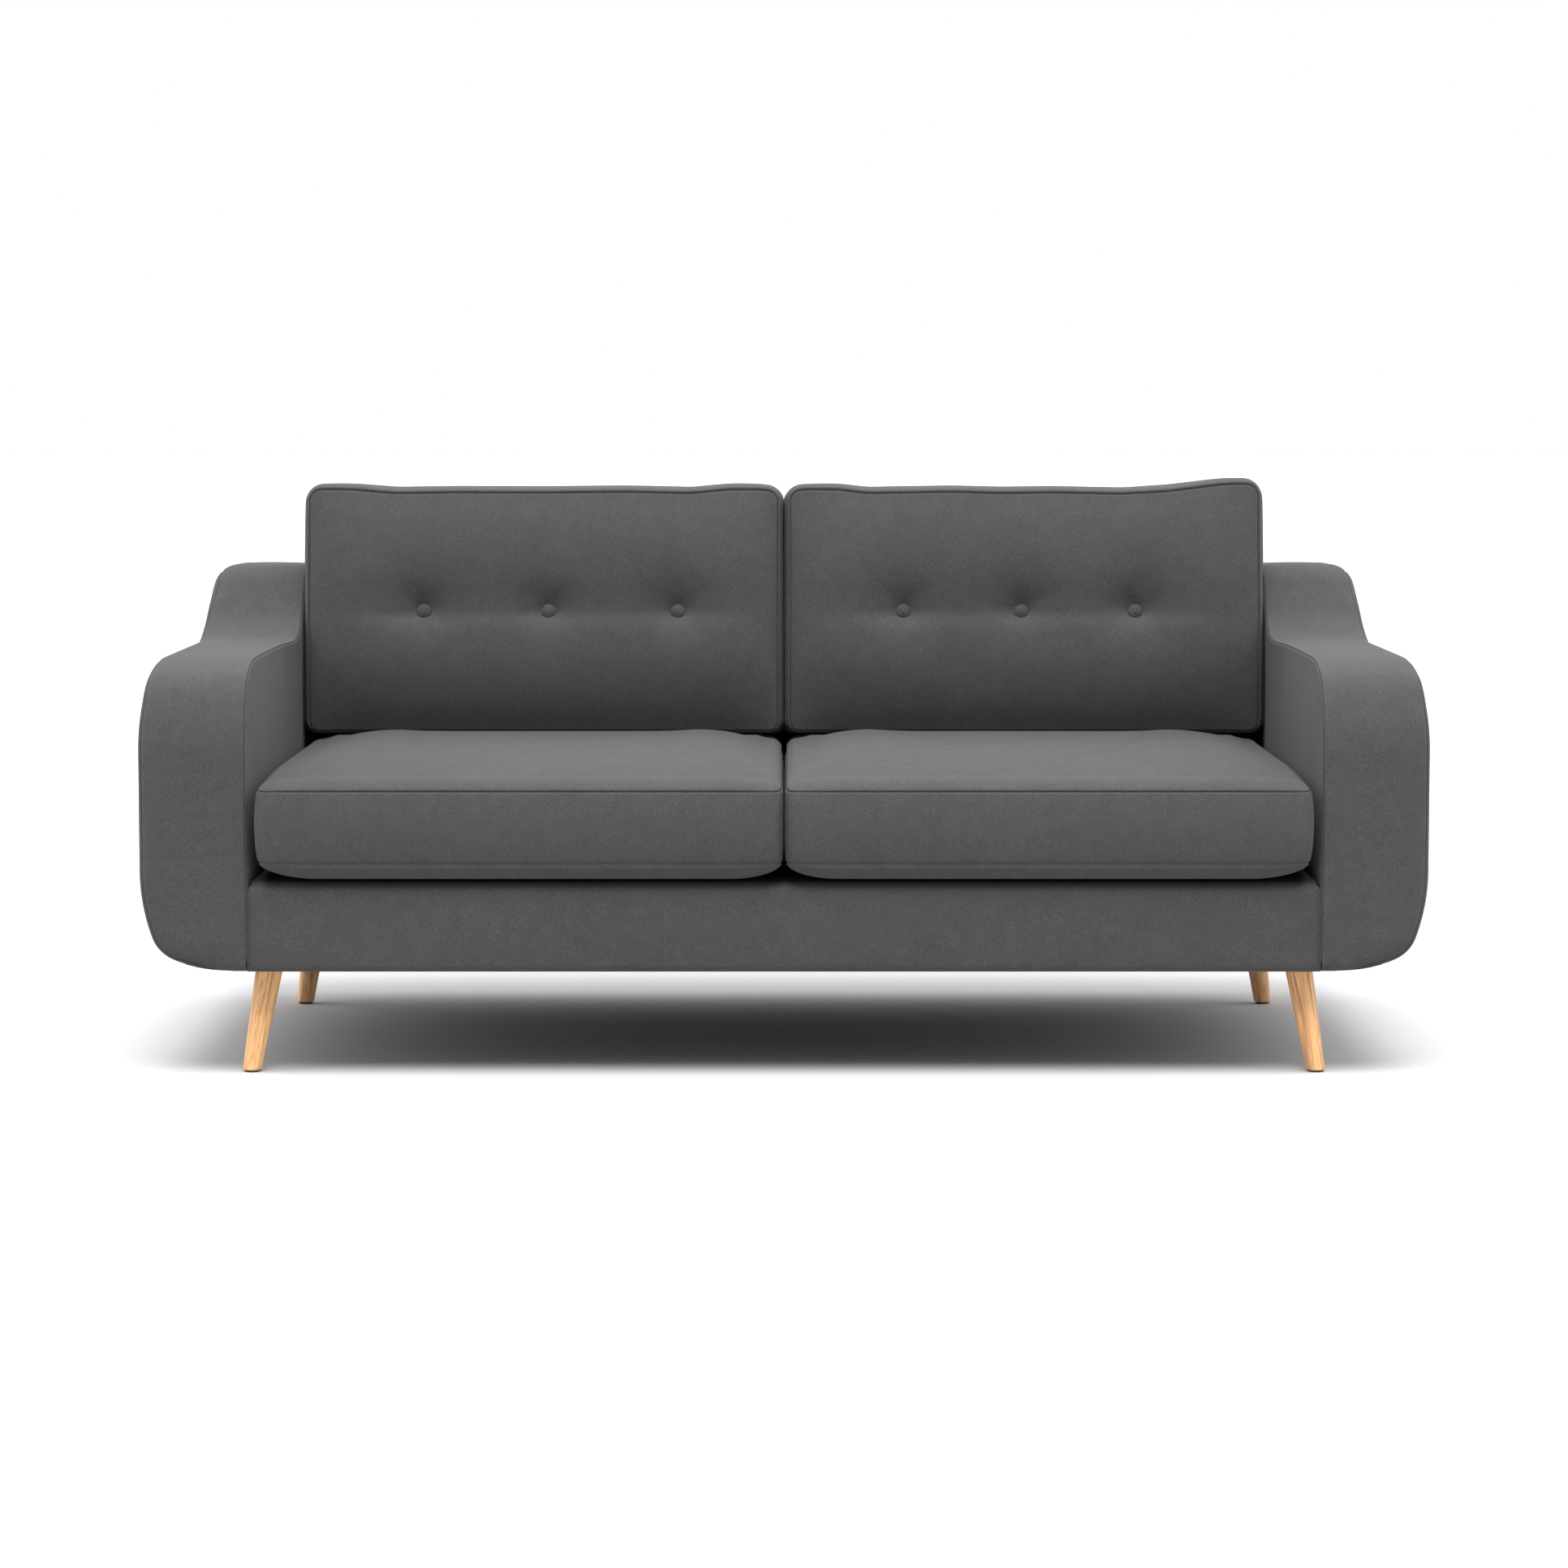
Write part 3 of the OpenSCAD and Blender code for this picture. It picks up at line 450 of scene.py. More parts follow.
def arm_outer():
    """The outside panel, which wraps round the heel and under the arm."""
    t, z = SIDE.at(seam_rows(S_UNDER, S_END, ROW)[1:]).T
    run = edge_run(np.maximum(z, BASE_Z + 2e-5))
    start_run = EDGE.s[np.argmin(np.abs(EDGE.p[:, 0] - (ARM_IN + 3 * MM)))]
    cross = [[UNDER_T, r] for r in np.linspace(start_run, run[0], 12)]
    seam = cross + np.column_stack([t, run])[1:].tolist()
    rest = [[UNDER_T, start_run], [PANEL_REAR_T, start_run], [PANEL_REAR_T, run[-1]]]
    share = np.linspace(0.004, 0.997, 250)
    near, far = along_line(seam, share), along_line(rest, share)
    flat, sink, across = strip(near, far, 52)
    place = EDGE.at(flat[:, :, 1])
    points, outward = onto_arm(np.dstack([place[:, :, 0], flat[:, :, 0], place[:, :, 1]]))
    points += outward * (OUTER_BULGE * bulge(across, 0.5) * above_sole(points) - sink)[:, :, None]
    return shell_mesh(points, outward, CLOTH)


def arm_inner():
    """The inside panel, crowned towards the seat."""
    seam = SIDE.at(seam_rows(S_FRONT + 6 * MM, S_END, ROW))
    low = BASE_Z + 5 * MM
    rest = [seam[0], [0.03, low], [PANEL_REAR_T - 3 * MM, low], seam[-1] - [2 * MM, 4 * MM]]
    share = np.linspace(0.004, 0.995, 230)
    near, far = along_line(seam, share), along_line(rest, share)
    flat, sink, across = strip(near, far, 50)
    points = np.dstack([inner_x(flat[:, :, 0]), flat])
    gap = np.maximum(-SIDE.measure(flat.reshape(-1, 2))[0].reshape(flat.shape[:2]), 0)
    points, outward = onto_arm(points)
    crown = INNER_CROWN * roll(gap, CROWN_REACH, 2)
    crown *= smooth((BACK_FOOT_T - flat[:, :, 0]) / 0.2)
    crown *= smooth((flat[:, :, 1] - 0.2) / 0.15)  # flat below the seat as well
    points += outward * (crown - sink)[:, :, None]
    return shell_mesh(points, outward, CLOTH)


BORDER_R = 18 * MM  # rounding of the border's top edge,
BORDER_CORNER_R = 24 * MM  # of its top corners,
BORDER_FOOT_R = 9 * MM  # of its lower edge
BORDER_EDGE_R = 3 * MM  # and of the edges round its face
BORDER_FRONT_T = 7 * MM
BORDER_TURN_T = 24 * MM  # depth at which the border meets the deck
BORDER_LOW = border_lo.z - 3 * MM
BORDER_TOP = border_hi.z + 0.5 * MM
BORDER_HALF = border_hi.x + 5.5 * MM  # its ends are tucked into the arms


def border_outlines():
    """The front border from the side, as (t, z), and its right half from the front, as (x, z)."""
    foot = [BORDER_FRONT_T + BORDER_FOOT_R, BORDER_LOW + BORDER_FOOT_R]
    brow = [BORDER_FRONT_T + BORDER_R, BORDER_TOP - BORDER_R]
    side = [
        [[BORDER_TURN_T, BORDER_LOW]],
        arc(foot, BORDER_FOOT_R, 270, 180, MM),
        arc(brow, BORDER_R, 180, 90, 2 * MM),
        [[BORDER_TURN_T + 4 * MM, BORDER_TOP]],
    ]
    corner = [BORDER_HALF - BORDER_CORNER_R, BORDER_TOP - BORDER_CORNER_R]
    front = [
        [[BORDER_HALF, BORDER_LOW - 0.05]],
        arc(corner, BORDER_CORNER_R, 0, 90),
        [[0, BORDER_TOP]],
    ]
    side = Outline(np.concatenate(side), outside=-1, step=2 * MM)
    return side, Outline(np.concatenate(front), outside=1, step=2 * MM)


def front_border():
    """The band over the front rail, with rounded top corners, which rolls back onto the deck."""
    side, front = border_outlines()
    rows, row_sink = seamed(0, side.length, 4 * MM)
    flat, sink, across = level_strip(rows, BORDER_HALF, 170, row_sink)
    place = side.at(flat[:, :, 1])
    shape = place.shape[:2] + (3,)
    p = np.dstack([flat[:, :, 0], place]).reshape(-1, 3)
    for _ in range(6):
        d_front, n_front = front.measure(np.column_stack([np.abs(p[:, 0]), p[:, 2]]))
        d_side, n_side = side.measure(p[:, 1:])
        zero = 0 * d_side
        n_front = np.column_stack([n_front[:, 0] * np.sign(p[:, 0]), zero, n_front[:, 1]])
        n_side = np.column_stack([zero, n_side])
        distance, outward = rounded_join(d_front, n_front, d_side, n_side, BORDER_EDGE_R)
        p = p - distance[:, None] * outward
    up = (place[:, :, 1] - BORDER_LOW) / (BORDER_TOP - BORDER_LOW)
    crown = 5 * MM * bulge(up) * bulge(across, 0.4)
    outward = outward.reshape(shape)
    return shell_mesh(p.reshape(shape) + outward * (crown - sink)[:, :, None], outward, CLOTH)


CREST_R = 40 * MM  # rounding of the back's top edge
REAR_DROP = 2 * MM  # the crest lies this much below the rear edge


def back_lining():
    """The cloth over the inside of the back and its top edge."""
    foot = [lining_lo.y - FRONT_Y, lining_lo.z]
    crest = lining_hi.z - REAR_DROP
    inner_top = foot[0] + (crest - CREST_R - foot[1]) * math.tan(LEAN)
    line = [
        [foot],
        arc([inner_top + CREST_R, crest - CREST_R], CREST_R, 180 - math.degrees(LEAN), 92),
        arc([PANEL_REAR_T - REAR_R, crest + REAR_DROP - REAR_R], REAR_R, 90, 0),
    ]
    side = Outline(np.concatenate(line), outside=-1)
    rows, row_sink = seamed(0, side.s[side.p[:, 1] > SEAM_Z][-1], 8 * MM)
    flat, sink, across = level_strip(rows, lining_hi.x, 130, row_sink)
    place = side.at(flat[:, :, 1])
    normal = side.measure(place.reshape(-1, 2))[1].reshape(place.shape)
    outward = np.dstack([0 * sink, normal])
    points = np.dstack([flat[:, :, 0], place])
    points += outward * (2 * MM * bulge(across, 0.3) - sink)[:, :, None]
    return shell_mesh(points, outward, CLOTH)


ROUNDED_W = 0.11  # width of the parts of the outside back that follow the arms


def outside_back():
    """The flat panel over the whole rear, seamed all round."""
    rows, row_sink = seamed(BASE_Z + 0.5 * MM, SEAM_Z, 9 * MM)
    half = edge_x(rows)
    half[0] = SOLE_X
    right = np.column_stack([half, rows])
    flat, sink, across = strip(right * [-1, 1], right, 150, row_sink)
    points = np.dstack([flat[:, :, 0], np.full(flat.shape[:2], PANEL_REAR_T), flat[:, :, 1]])
    outward = np.zeros(points.shape)
    outward[:, :, 1] = 1
    edge = np.abs(points[:, :, 0]) > HALF_W - ROUNDED_W
    sign = np.where(points[:, :, :1] < 0, -1.0, 1.0) * [1, 0, 0] + [0, 1, 1]
    moved, normal = onto_arm((points * sign)[edge][None])
    points[edge] = moved[0] * sign[edge]
    outward[edge] = normal[0] * sign[edge]
    up = (flat[:, :, 1] - BASE_Z) / (SEAM_Z - BASE_Z)
    points += outward * (1.0 * MM * bulge(across, 0.4) * bulge(up, 0.5) - sink)[:, :, None]
    return shell_mesh(points, outward, CLOTH)


def deck():
    """The platform cloth, which sags a little between the rails."""
    t0, t1 = BORDER_TURN_T, deck_hi.y - FRONT_Y
    rows, row_sink = seamed(t0, t1, 14 * MM, start=True)
    flat, sink, across = level_strip(rows, deck_hi.x - 1 * MM, 90, row_sink)
    depth = (flat[:, :, 1] - t0) / (t1 - t0)
    z = DECK_Z - 5 * MM * bulge(across, 0.6) * bulge(depth, 0.8) - sink
    outward = np.zeros(flat.shape[:2] + (3,))
    outward[:, :, 2] = 1
    return shell_mesh(np.dstack([flat, z]), outward, CLOTH)


# ---------------------------------------------------------------- cushions


def ring(rows, columns):
    """Row and column numbers all round the edge of a grid, without a repeat."""
    top = [(0, j) for j in range(columns - 1)]
    right = [(i, columns - 1) for i in range(rows - 1)]
    bottom = [(rows - 1, j) for j in range(columns - 1, 0, -1)]
    left = [(i, 0) for i in range(rows - 1, 0, -1)]
    return np.array(top + right + bottom + left)


def spline_weights(places, count, wraps=False):
    """Matrix of smooth interpolation weights from count even places to the given ones."""
    base = np.floor(places).astype(int)
    if not wraps:
        base = np.clip(base, 0, count - 2)
    f = places - base
    weights = [
        (-f + 2 * f**2 - f**3) / 2,
        (2 - 5 * f**2 + 3 * f**3) / 2,
        (f + 4 * f**2 - 3 * f**3) / 2,
        (-(f**2) + f**3) / 2,
    ]
    matrix = np.zeros((len(places), count))
    for offset, w in zip((-1, 0, 1, 2), weights):
        at = (base + offset) % count if wraps else np.clip(base + offset, 0, count - 1)
        np.add.at(matrix, (np.arange(len(places)), at), w)
    return matrix


# The seams of a cushion: distances from them, and how far they pull the cloth in there
GROOVE_E = np.array([0, 0.5, 1.0, 1.7, 2.6, 4.0, 8.0]) * MM
GROOVE_DEPTH = np.array([5.0, 4.2, 1.6, 0.35, -0.1, -0.15, 0]) * MM


def graded(length, spacing):
    """Places from 0 to length, close together at both ends."""
    count = max(2, int((length - 2 * GROOVE_E[-1]) / spacing))
    middle = np.linspace(GROOVE_E[-1], length - GROOVE_E[-1], count + 1)[1:-1]
    return np.concatenate([GROOVE_E, middle, length - GROOVE_E[::-1]])


class Cushion:
    """Two crowned faces and a border between their seams.

    a runs across, b along and c up through the cushion: the face at c1 is the top or the front.
    """

    def __init__(self, right, a, b, c, corner):
        self.right, self.a, self.b, self.c, self.corner = right, a, b, c, corner
        self.seed = 2 if right else 5

    def plan(self, u, w):
        """Distances along the two sides to places on the rounded outline."""
        size = np.array([self.a[1] - self.a[0], self.b[1] - self.b[0]])
        r = self.corner
        q = np.stack([u - size[0] / 2, w - size[1] / 2], axis=-1)
        over = np.maximum(np.abs(q) - (size / 2 - r), 0) / r
        bent = over * np.sqrt(1 - over[..., ::-1] ** 2 / 2)
        q = np.where(over.min(-1, keepdims=True) > 0, np.sign(q) * (size / 2 - r + r * bent), q)
        return q[..., 0] + size[0] / 2 + self.a[0], q[..., 1] + size[1] / 2 + self.b[0]

    def gaps(self, u, w):
        """Distances from the four seams of a face."""
        return u, self.a[1] - self.a[0] - u, w, self.b[1] - self.b[0] - w

    def shapes(self, us, ws, vs):
        """The two face grids and the border rows at those distances."""
        u, w = np.meshgrid(us, ws, indexing="ij")
        x, y = self.plan(u, w)
        heights = [self.face(top, x, y, *self.gaps(u, w)) for top in (True, False)]
        faces = [np.stack([x, y, height], -1) for height in heights]
        loop = ring(len(us), len(ws))
        edge = [f[loop[:, 0], loop[:, 1]] for f in faces]
        tangent = np.roll(edge[0], -1, 0) - np.roll(edge[0], 1, 0)
        outward = unit(np.column_stack([tangent[:, 1], -tangent[:, 0], 0 * tangent[:, 0]]))
        middle = edge[0].mean(0)
        outward *= np.sign(((edge[0] - middle) * outward).sum(1).mean())
        share = (vs / vs[-1])[:, None]
        rows = edge[0][None] * (1 - share[..., None]) + edge[1][None] * share[..., None]
        rows = rows + outward[None] * self.border(outward, share)[..., None]
        return faces[0], faces[1], rows

    def pins(self, vertices, m, n):
        """How firmly each vertex is held while it is blown up: seams hold, the far face gives."""
        loop = ring(m, n)
        edge = loop[:, 0] * n + loop[:, 1]
        pins = np.zeros(len(vertices))
        pins[m * n : 2 * m * n] = self.far_pin
        pins[edge] = pins[m * n + edge] = 1.0
        return pins


def cushion_mesh(top, bottom, rows):
    """Vertices and faces of a closed cushion."""
    m, n = top.shape[:2]
    loop = ring(m, n)
    around = len(loop)
    edge = loop[:, 0] * n + loop[:, 1]
    ids = [edge] + [2 * m * n + r * around + np.arange(around) for r in range(len(rows) - 2)]
    ids.append(m * n + edge)
    faces = [grid_quads(m, n), grid_quads(m, n, m * n)[:, ::-1]]
    for above, below in zip(ids[:-1], ids[1:]):
        faces.append(np.column_stack([above, np.roll(above, -1), np.roll(below, -1), below]))
    inner = rows[1:-1].reshape(-1, 3)
    return np.concatenate([top.reshape(-1, 3), bottom.reshape(-1, 3), inner]), np.concatenate(faces)


def split_cushion(values, m, n, rows):
    """Takes values at a cushion's vertices apart again, into its faces and border rows."""
    top, bottom = values[: m * n].reshape(m, n, 3), values[m * n : 2 * m * n].reshape(m, n, 3)
    loop = ring(m, n)
    inner = values[2 * m * n :].reshape(rows - 2, len(loop), 3)
    edges = [f[loop[:, 0], loop[:, 1]][None] for f in (top, bottom)]
    return top, bottom, np.concatenate([edges[0], inner, edges[1]])


def set_cloth(settings):
    """A stiff, light upholstery cloth with air pressed into it."""
    settings.quality = 5
    settings.mass = 0.3
    settings.tension_stiffness = settings.compression_stiffness = 15
    settings.shear_stiffness = 5
    settings.bending_stiffness = 0.6
    settings.tension_damping = settings.compression_damping = settings.shear_damping = 5
    settings.air_damping = 1
    settings.use_pressure = True
    settings.uniform_pressure_force = 4.0
    settings.effector_weights.gravity = 0
    settings.vertex_group_mass = "pins"
    settings.pin_stiffness = 1


SIM_FRAMES = 20
SIM_CAP = 26 * MM  # no vertex moves further than this


def simulate(vertices, faces, pins):
    """Blows a closed cloth up for a few frames and returns where its vertices went."""
    mesh = bpy.data.meshes.new("cloth")
    mesh.from_pydata(vertices.tolist(), [], faces.tolist())
    piece = bpy.data.objects.new("cloth", mesh)
    bpy.context.scene.collection.objects.link(piece)
    group = piece.vertex_groups.new(name="pins")
    for weight in np.unique(pins[pins > 0]):
        group.add(np.flatnonzero(pins == weight).tolist(), float(weight), "REPLACE")
    cloth = piece.modifiers.new("cloth", "CLOTH")
    set_cloth(cloth.settings)
    cloth.point_cache.frame_start, cloth.point_cache.frame_end = 1, SIM_FRAMES
    for f in range(1, SIM_FRAMES + 1):
        bpy.context.scene.frame_set(f)
    blown = piece.evaluated_get(bpy.context.evaluated_depsgraph_get())
    result = np.empty(len(vertices) * 3)
    blown.data.vertices.foreach_get("co", result)
    bpy.data.objects.remove(piece)
    bpy.data.meshes.remove(mesh)
    bpy.context.scene.frame_set(1)
    move = result.reshape(-1, 3) - vertices
    length = np.linalg.norm(move, axis=1, keepdims=True)
    return vertices + move * np.minimum(1, SIM_CAP / np.maximum(length, 1e-9))


SIM_SPACING = 13 * MM
RUFFLE = 0.2 * MM  # unevenness of the cloth before it is blown up
FOLD_CELLS = 4  # width of the blur that tells folds from the fullness of a face


def blurred(grid, cells):
    """A grid of vectors, averaged over about that many cells either way."""
    reach = np.arange(-3 * cells, 3 * cells + 1)
    kernel = np.exp(-((reach / cells) ** 2) / 2)
    kernel /= kernel.sum()
    for axis in (0, 1):
        pad = [(0, 0)] * 3
        pad[axis] = (len(reach) // 2,) * 2
        padded = np.pad(grid, pad, mode="edge")
        grid = np.apply_along_axis(lambda line: np.convolve(line, kernel, "valid"), axis, padded)
    return grid


def folds_only(gain):
    """What is left of a movement without its broad swell, faded out towards the seams."""
    folds = blurred(gain, 1) - blurred(gain, FOLD_CELLS)
    i, j = np.meshgrid(np.arange(gain.shape[0]), np.arange(gain.shape[1]), indexing="ij")
    inwards = np.minimum(np.minimum(i, gain.shape[0] - 1 - i), np.minimum(j, gain.shape[1] - 1 - j))
    return folds * smooth(inwards / 3)[..., None]


def deflated(shapes, cushion, vs):
    """The cushion's shapes, flattened towards their seams."""
    top, bottom, rows = (part.copy() for part in shapes)
    for face, seam in ((top, cushion.c[1]), (bottom, cushion.c[0])):
        face[..., 2] = seam + (face[..., 2] - seam) * cushion.deflate
    straight = rows[:1] + (rows[-1:] - rows[:1]) * (vs / vs[-1])[:, None, None]
    return top, bottom, straight + (rows - straight) * cushion.deflate


def spread(parts, coarse, fine):
    """Values on a coarse cushion's faces and border rows, interpolated at finer places."""
    m, n, k = (len(places) for places in coarse)
    at_u, at_w, at_v = (np.interp(f, c, np.arange(len(c))) for f, c in zip(fine, coarse))
    sides = [
        at_w[:-1],
        n - 1 + at_u[:-1],
        2 * (n - 1) + m - 1 - at_w[:0:-1],
        2 * (n - 1) + 2 * (m - 1) - at_u[:0:-1],
    ]
    across, along, down = spline_weights(at_u, m), spline_weights(at_w, n), spline_weights(at_v, k)
    around = spline_weights(np.concatenate(sides), parts[2].shape[1], wraps=True)
    weights = ((across, along), (across, along), (down, around))
    return [np.einsum("im,mnk,jn->ijk", w[0], part, w[1]) for w, part in zip(weights, parts)]


def blown_up(cushion, fine):
    """The folds that a cloth simulation adds to the cushion's own shape, at the given places."""
    coarse = [np.linspace(0, f[-1], int(f[-1] / SIM_SPACING) + 2) for f in fine]
    target = cushion.shapes(*coarse)
    m, n, k = (len(places) for places in coarse)
    vertices, faces = cushion_mesh(*deflated(target, cushion, coarse[2]))
    pins = cushion.pins(vertices, m, n)
    ruffle = np.random.default_rng(cushion.seed).normal(0, RUFFLE, vertices.shape)
    moved = simulate(vertices + ruffle * (pins < 0.5)[:, None], faces, pins)
    gain = moved - cushion_mesh(*target)[0]
    return spread([folds_only(g) for g in split_cushion(gain, m, n, k)], coarse, fine)


def sew(vertices, faces, distance, tightness):
    """Sinks the vertices beside a seam along their normals."""
    mesh = bpy.data.meshes.new("sewn")
    mesh.from_pydata(vertices.tolist(), [], faces.tolist())
    mesh.update()
    normals = np.empty(len(vertices) * 3)
    mesh.vertex_normals.foreach_get("vector", normals)
    bpy.data.meshes.remove(mesh)
    depth = np.interp(distance, GROOVE_E, GROOVE_DEPTH) * tightness
    return vertices - normals.reshape(-1, 3) * depth[:, None]


def seam_distances(us, ws, vs):
    """How far each vertex of a cushion is from its nearest seam, in the order of cushion_mesh."""
    u, w = np.meshgrid(us, ws, indexing="ij")
    face = np.minimum(np.minimum(u, us[-1] - u), np.minimum(w, ws[-1] - w)).ravel()
    row = np.minimum(vs, vs[-1] - vs)[1:-1]
    around = 2 * (len(us) + len(ws)) - 4
    return np.concatenate([face, face, np.repeat(row, around)])


SEAT_LO, SEAT_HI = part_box("seat_cushion_cover_right")
BACK_LO, BACK_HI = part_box("back_cushion_cover_right")
SEAT_T0, SEAT_T1 = SEAT_LO.y - FRONT_Y, SEAT_HI.y - FRONT_Y
SEAT_SEAM_TOP, SEAT_SEAM_LOW = 438 * MM, 330 * MM


class SeatCushion(Cushion):
    kind, filling, fill = "seat", "foam", 0.9
    spacing = 6.5 * MM
    deflate = 0.94
    far_pin = 0.6
    tightness = (0.9, 0.3)  # of the seams round the top and round the bottom
    bulges = (1.8 * MM, 5.5 * MM, 6.5 * MM, 0.3 * MM)  # centre, arm, front and rear

    def __init__(self, right):
        a = (SEAT_LO.x + 0.3 * MM, SEAT_HI.x - 2 * MM)
        b = (SEAT_T0 + 5.5 * MM, SEAT_T1 - 2 * MM)
        super().__init__(right, a, b, (SEAT_SEAM_LOW, SEAT_SEAM_TOP), 20 * MM)

    def face(self, top, x, y, a0, a1, b0, b1):
        if top:
            rise = SEAT_HI.z - SEAT_SEAM_TOP
            centre = 0.55 * roll(a0, 0.016, 2, 2.4) + 0.45 * roll(a0, 0.1, 2.2)
            sides = centre * (0.55 * roll(a1, 0.024, 2, 1.5) + 0.45 * roll(a1, 0.14, 2))
            front = 0.36 * roll(b0, 0.03, 2) + 0.64 * roll(b0, 0.22, 2)
            ends = front * roll(b1, 0.07, 2, 2)
            dome = 3.5 * MM * bulge(a0 / (a0 + a1), 0.6) * bulge(b0 / 0.55, 1)
            return self.c[1] + (rise - 0.6 * MM) * sides * ends + dome
        drop = SEAT_SEAM_LOW - SEAT_LO.z
        sides = roll(a0, 0.08, 2, 2) * roll(a1, 0.09, 2, 2)
        return self.c[0] - drop * sides * roll(b0, 0.045, 2, 2) * roll(b1, 0.03, 2, 2)

    def border(self, outward, share):
        centre, arm, front, rear = self.bulges
        sideways = np.where(outward[:, 0] > 0, arm, centre) * np.abs(outward[:, 0]) ** 2
        lengthways = np.where(outward[:, 1] > 0, rear, front) * np.abs(outward[:, 1]) ** 2
        return (sideways + lengthways)[None] * bulge(share, 0.75)

    def upright(self, p):
        """It is drawn where it lies."""
        return p

    def settled(self, p):
        """Flattened where it rests and under the back cushion, and clear of its neighbours."""
        x = np.clip(p[:, 0], SEAT_LO.x - 1.3 * MM, ARM_IN - 6 * MM)
        t = np.minimum(p[:, 1], SEAT_T1 - 1.6 * MM)
        under_back = smooth((p[:, 1] - (BACK_T - 0.02)) / 0.04)
        over = np.maximum(p[:, 2] - (SEAT_HI.z - 0.6 * MM - BACK_PRESS), 0)
        return np.column_stack([x, t, soft_floor(p[:, 2] - over * under_back, SEAT_LO.z, 3 * MM)])


BUTTON_D = 25 * MM


def button_places(right):
    """Distances of the CAD's buttons from the middle of the sofa."""
    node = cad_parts[f"buttons_{side_name(right)}"]
    x = np.sort([abs((node.matrix_world @ v.co).x) for v in node.data.vertices])
    groups = np.split(x, np.flatnonzero(np.diff(x) > 2 * BUTTON_D) + 1)
    return [(g[0] + g[-1]) / 2 for g in groups]


BUTTON_X = {right: button_places(right) for right in (True, False)}
BUTTON_H = 200 * MM  # above the foot of the cushion, along its lean
BACK_T = 582 * MM  # depth of the fullest part of the face, at the foot
BACK_THICK = 178 * MM
BACK_H = (BACK_HI.z - BACK_LO.z + 40 * MM * math.sin(LEAN)) / math.cos(LEAN)
BACK_PRESS = 8 * MM  # how far it presses into the seat cushion
BACK_SINK = 24 * MM  # of the front seam behind the fullest part of the face
BACK_TUCK = 14 * MM  # further in along its foot
TUFT_VALLEY = 7.5 * MM  # depth of the valley along the buttons
TUFT_DEPTH = 18 * MM  # and of the dimples in it

# Height of the top seam against its mean, by share of the way from the middle of the sofa outwards
TOP_WAVES = {
    False: [(0, -4), (0.05, 0), (0.11, 0), (0.19, -6.5), (0.33, -4), (0.5, -5.5), (0.68, -5),
            (0.81, -6.5), (0.9, 0), (0.96, 0.5), (1, -3)],
    True: [(0, -4), (0.04, 0), (0.11, 0), (0.17, -6.5), (0.35, -4), (0.45, -6.5), (0.56, -5),
           (0.7, -7.5), (0.8, -3), (0.91, 8.5), (0.96, 10), (1, 5)],
}


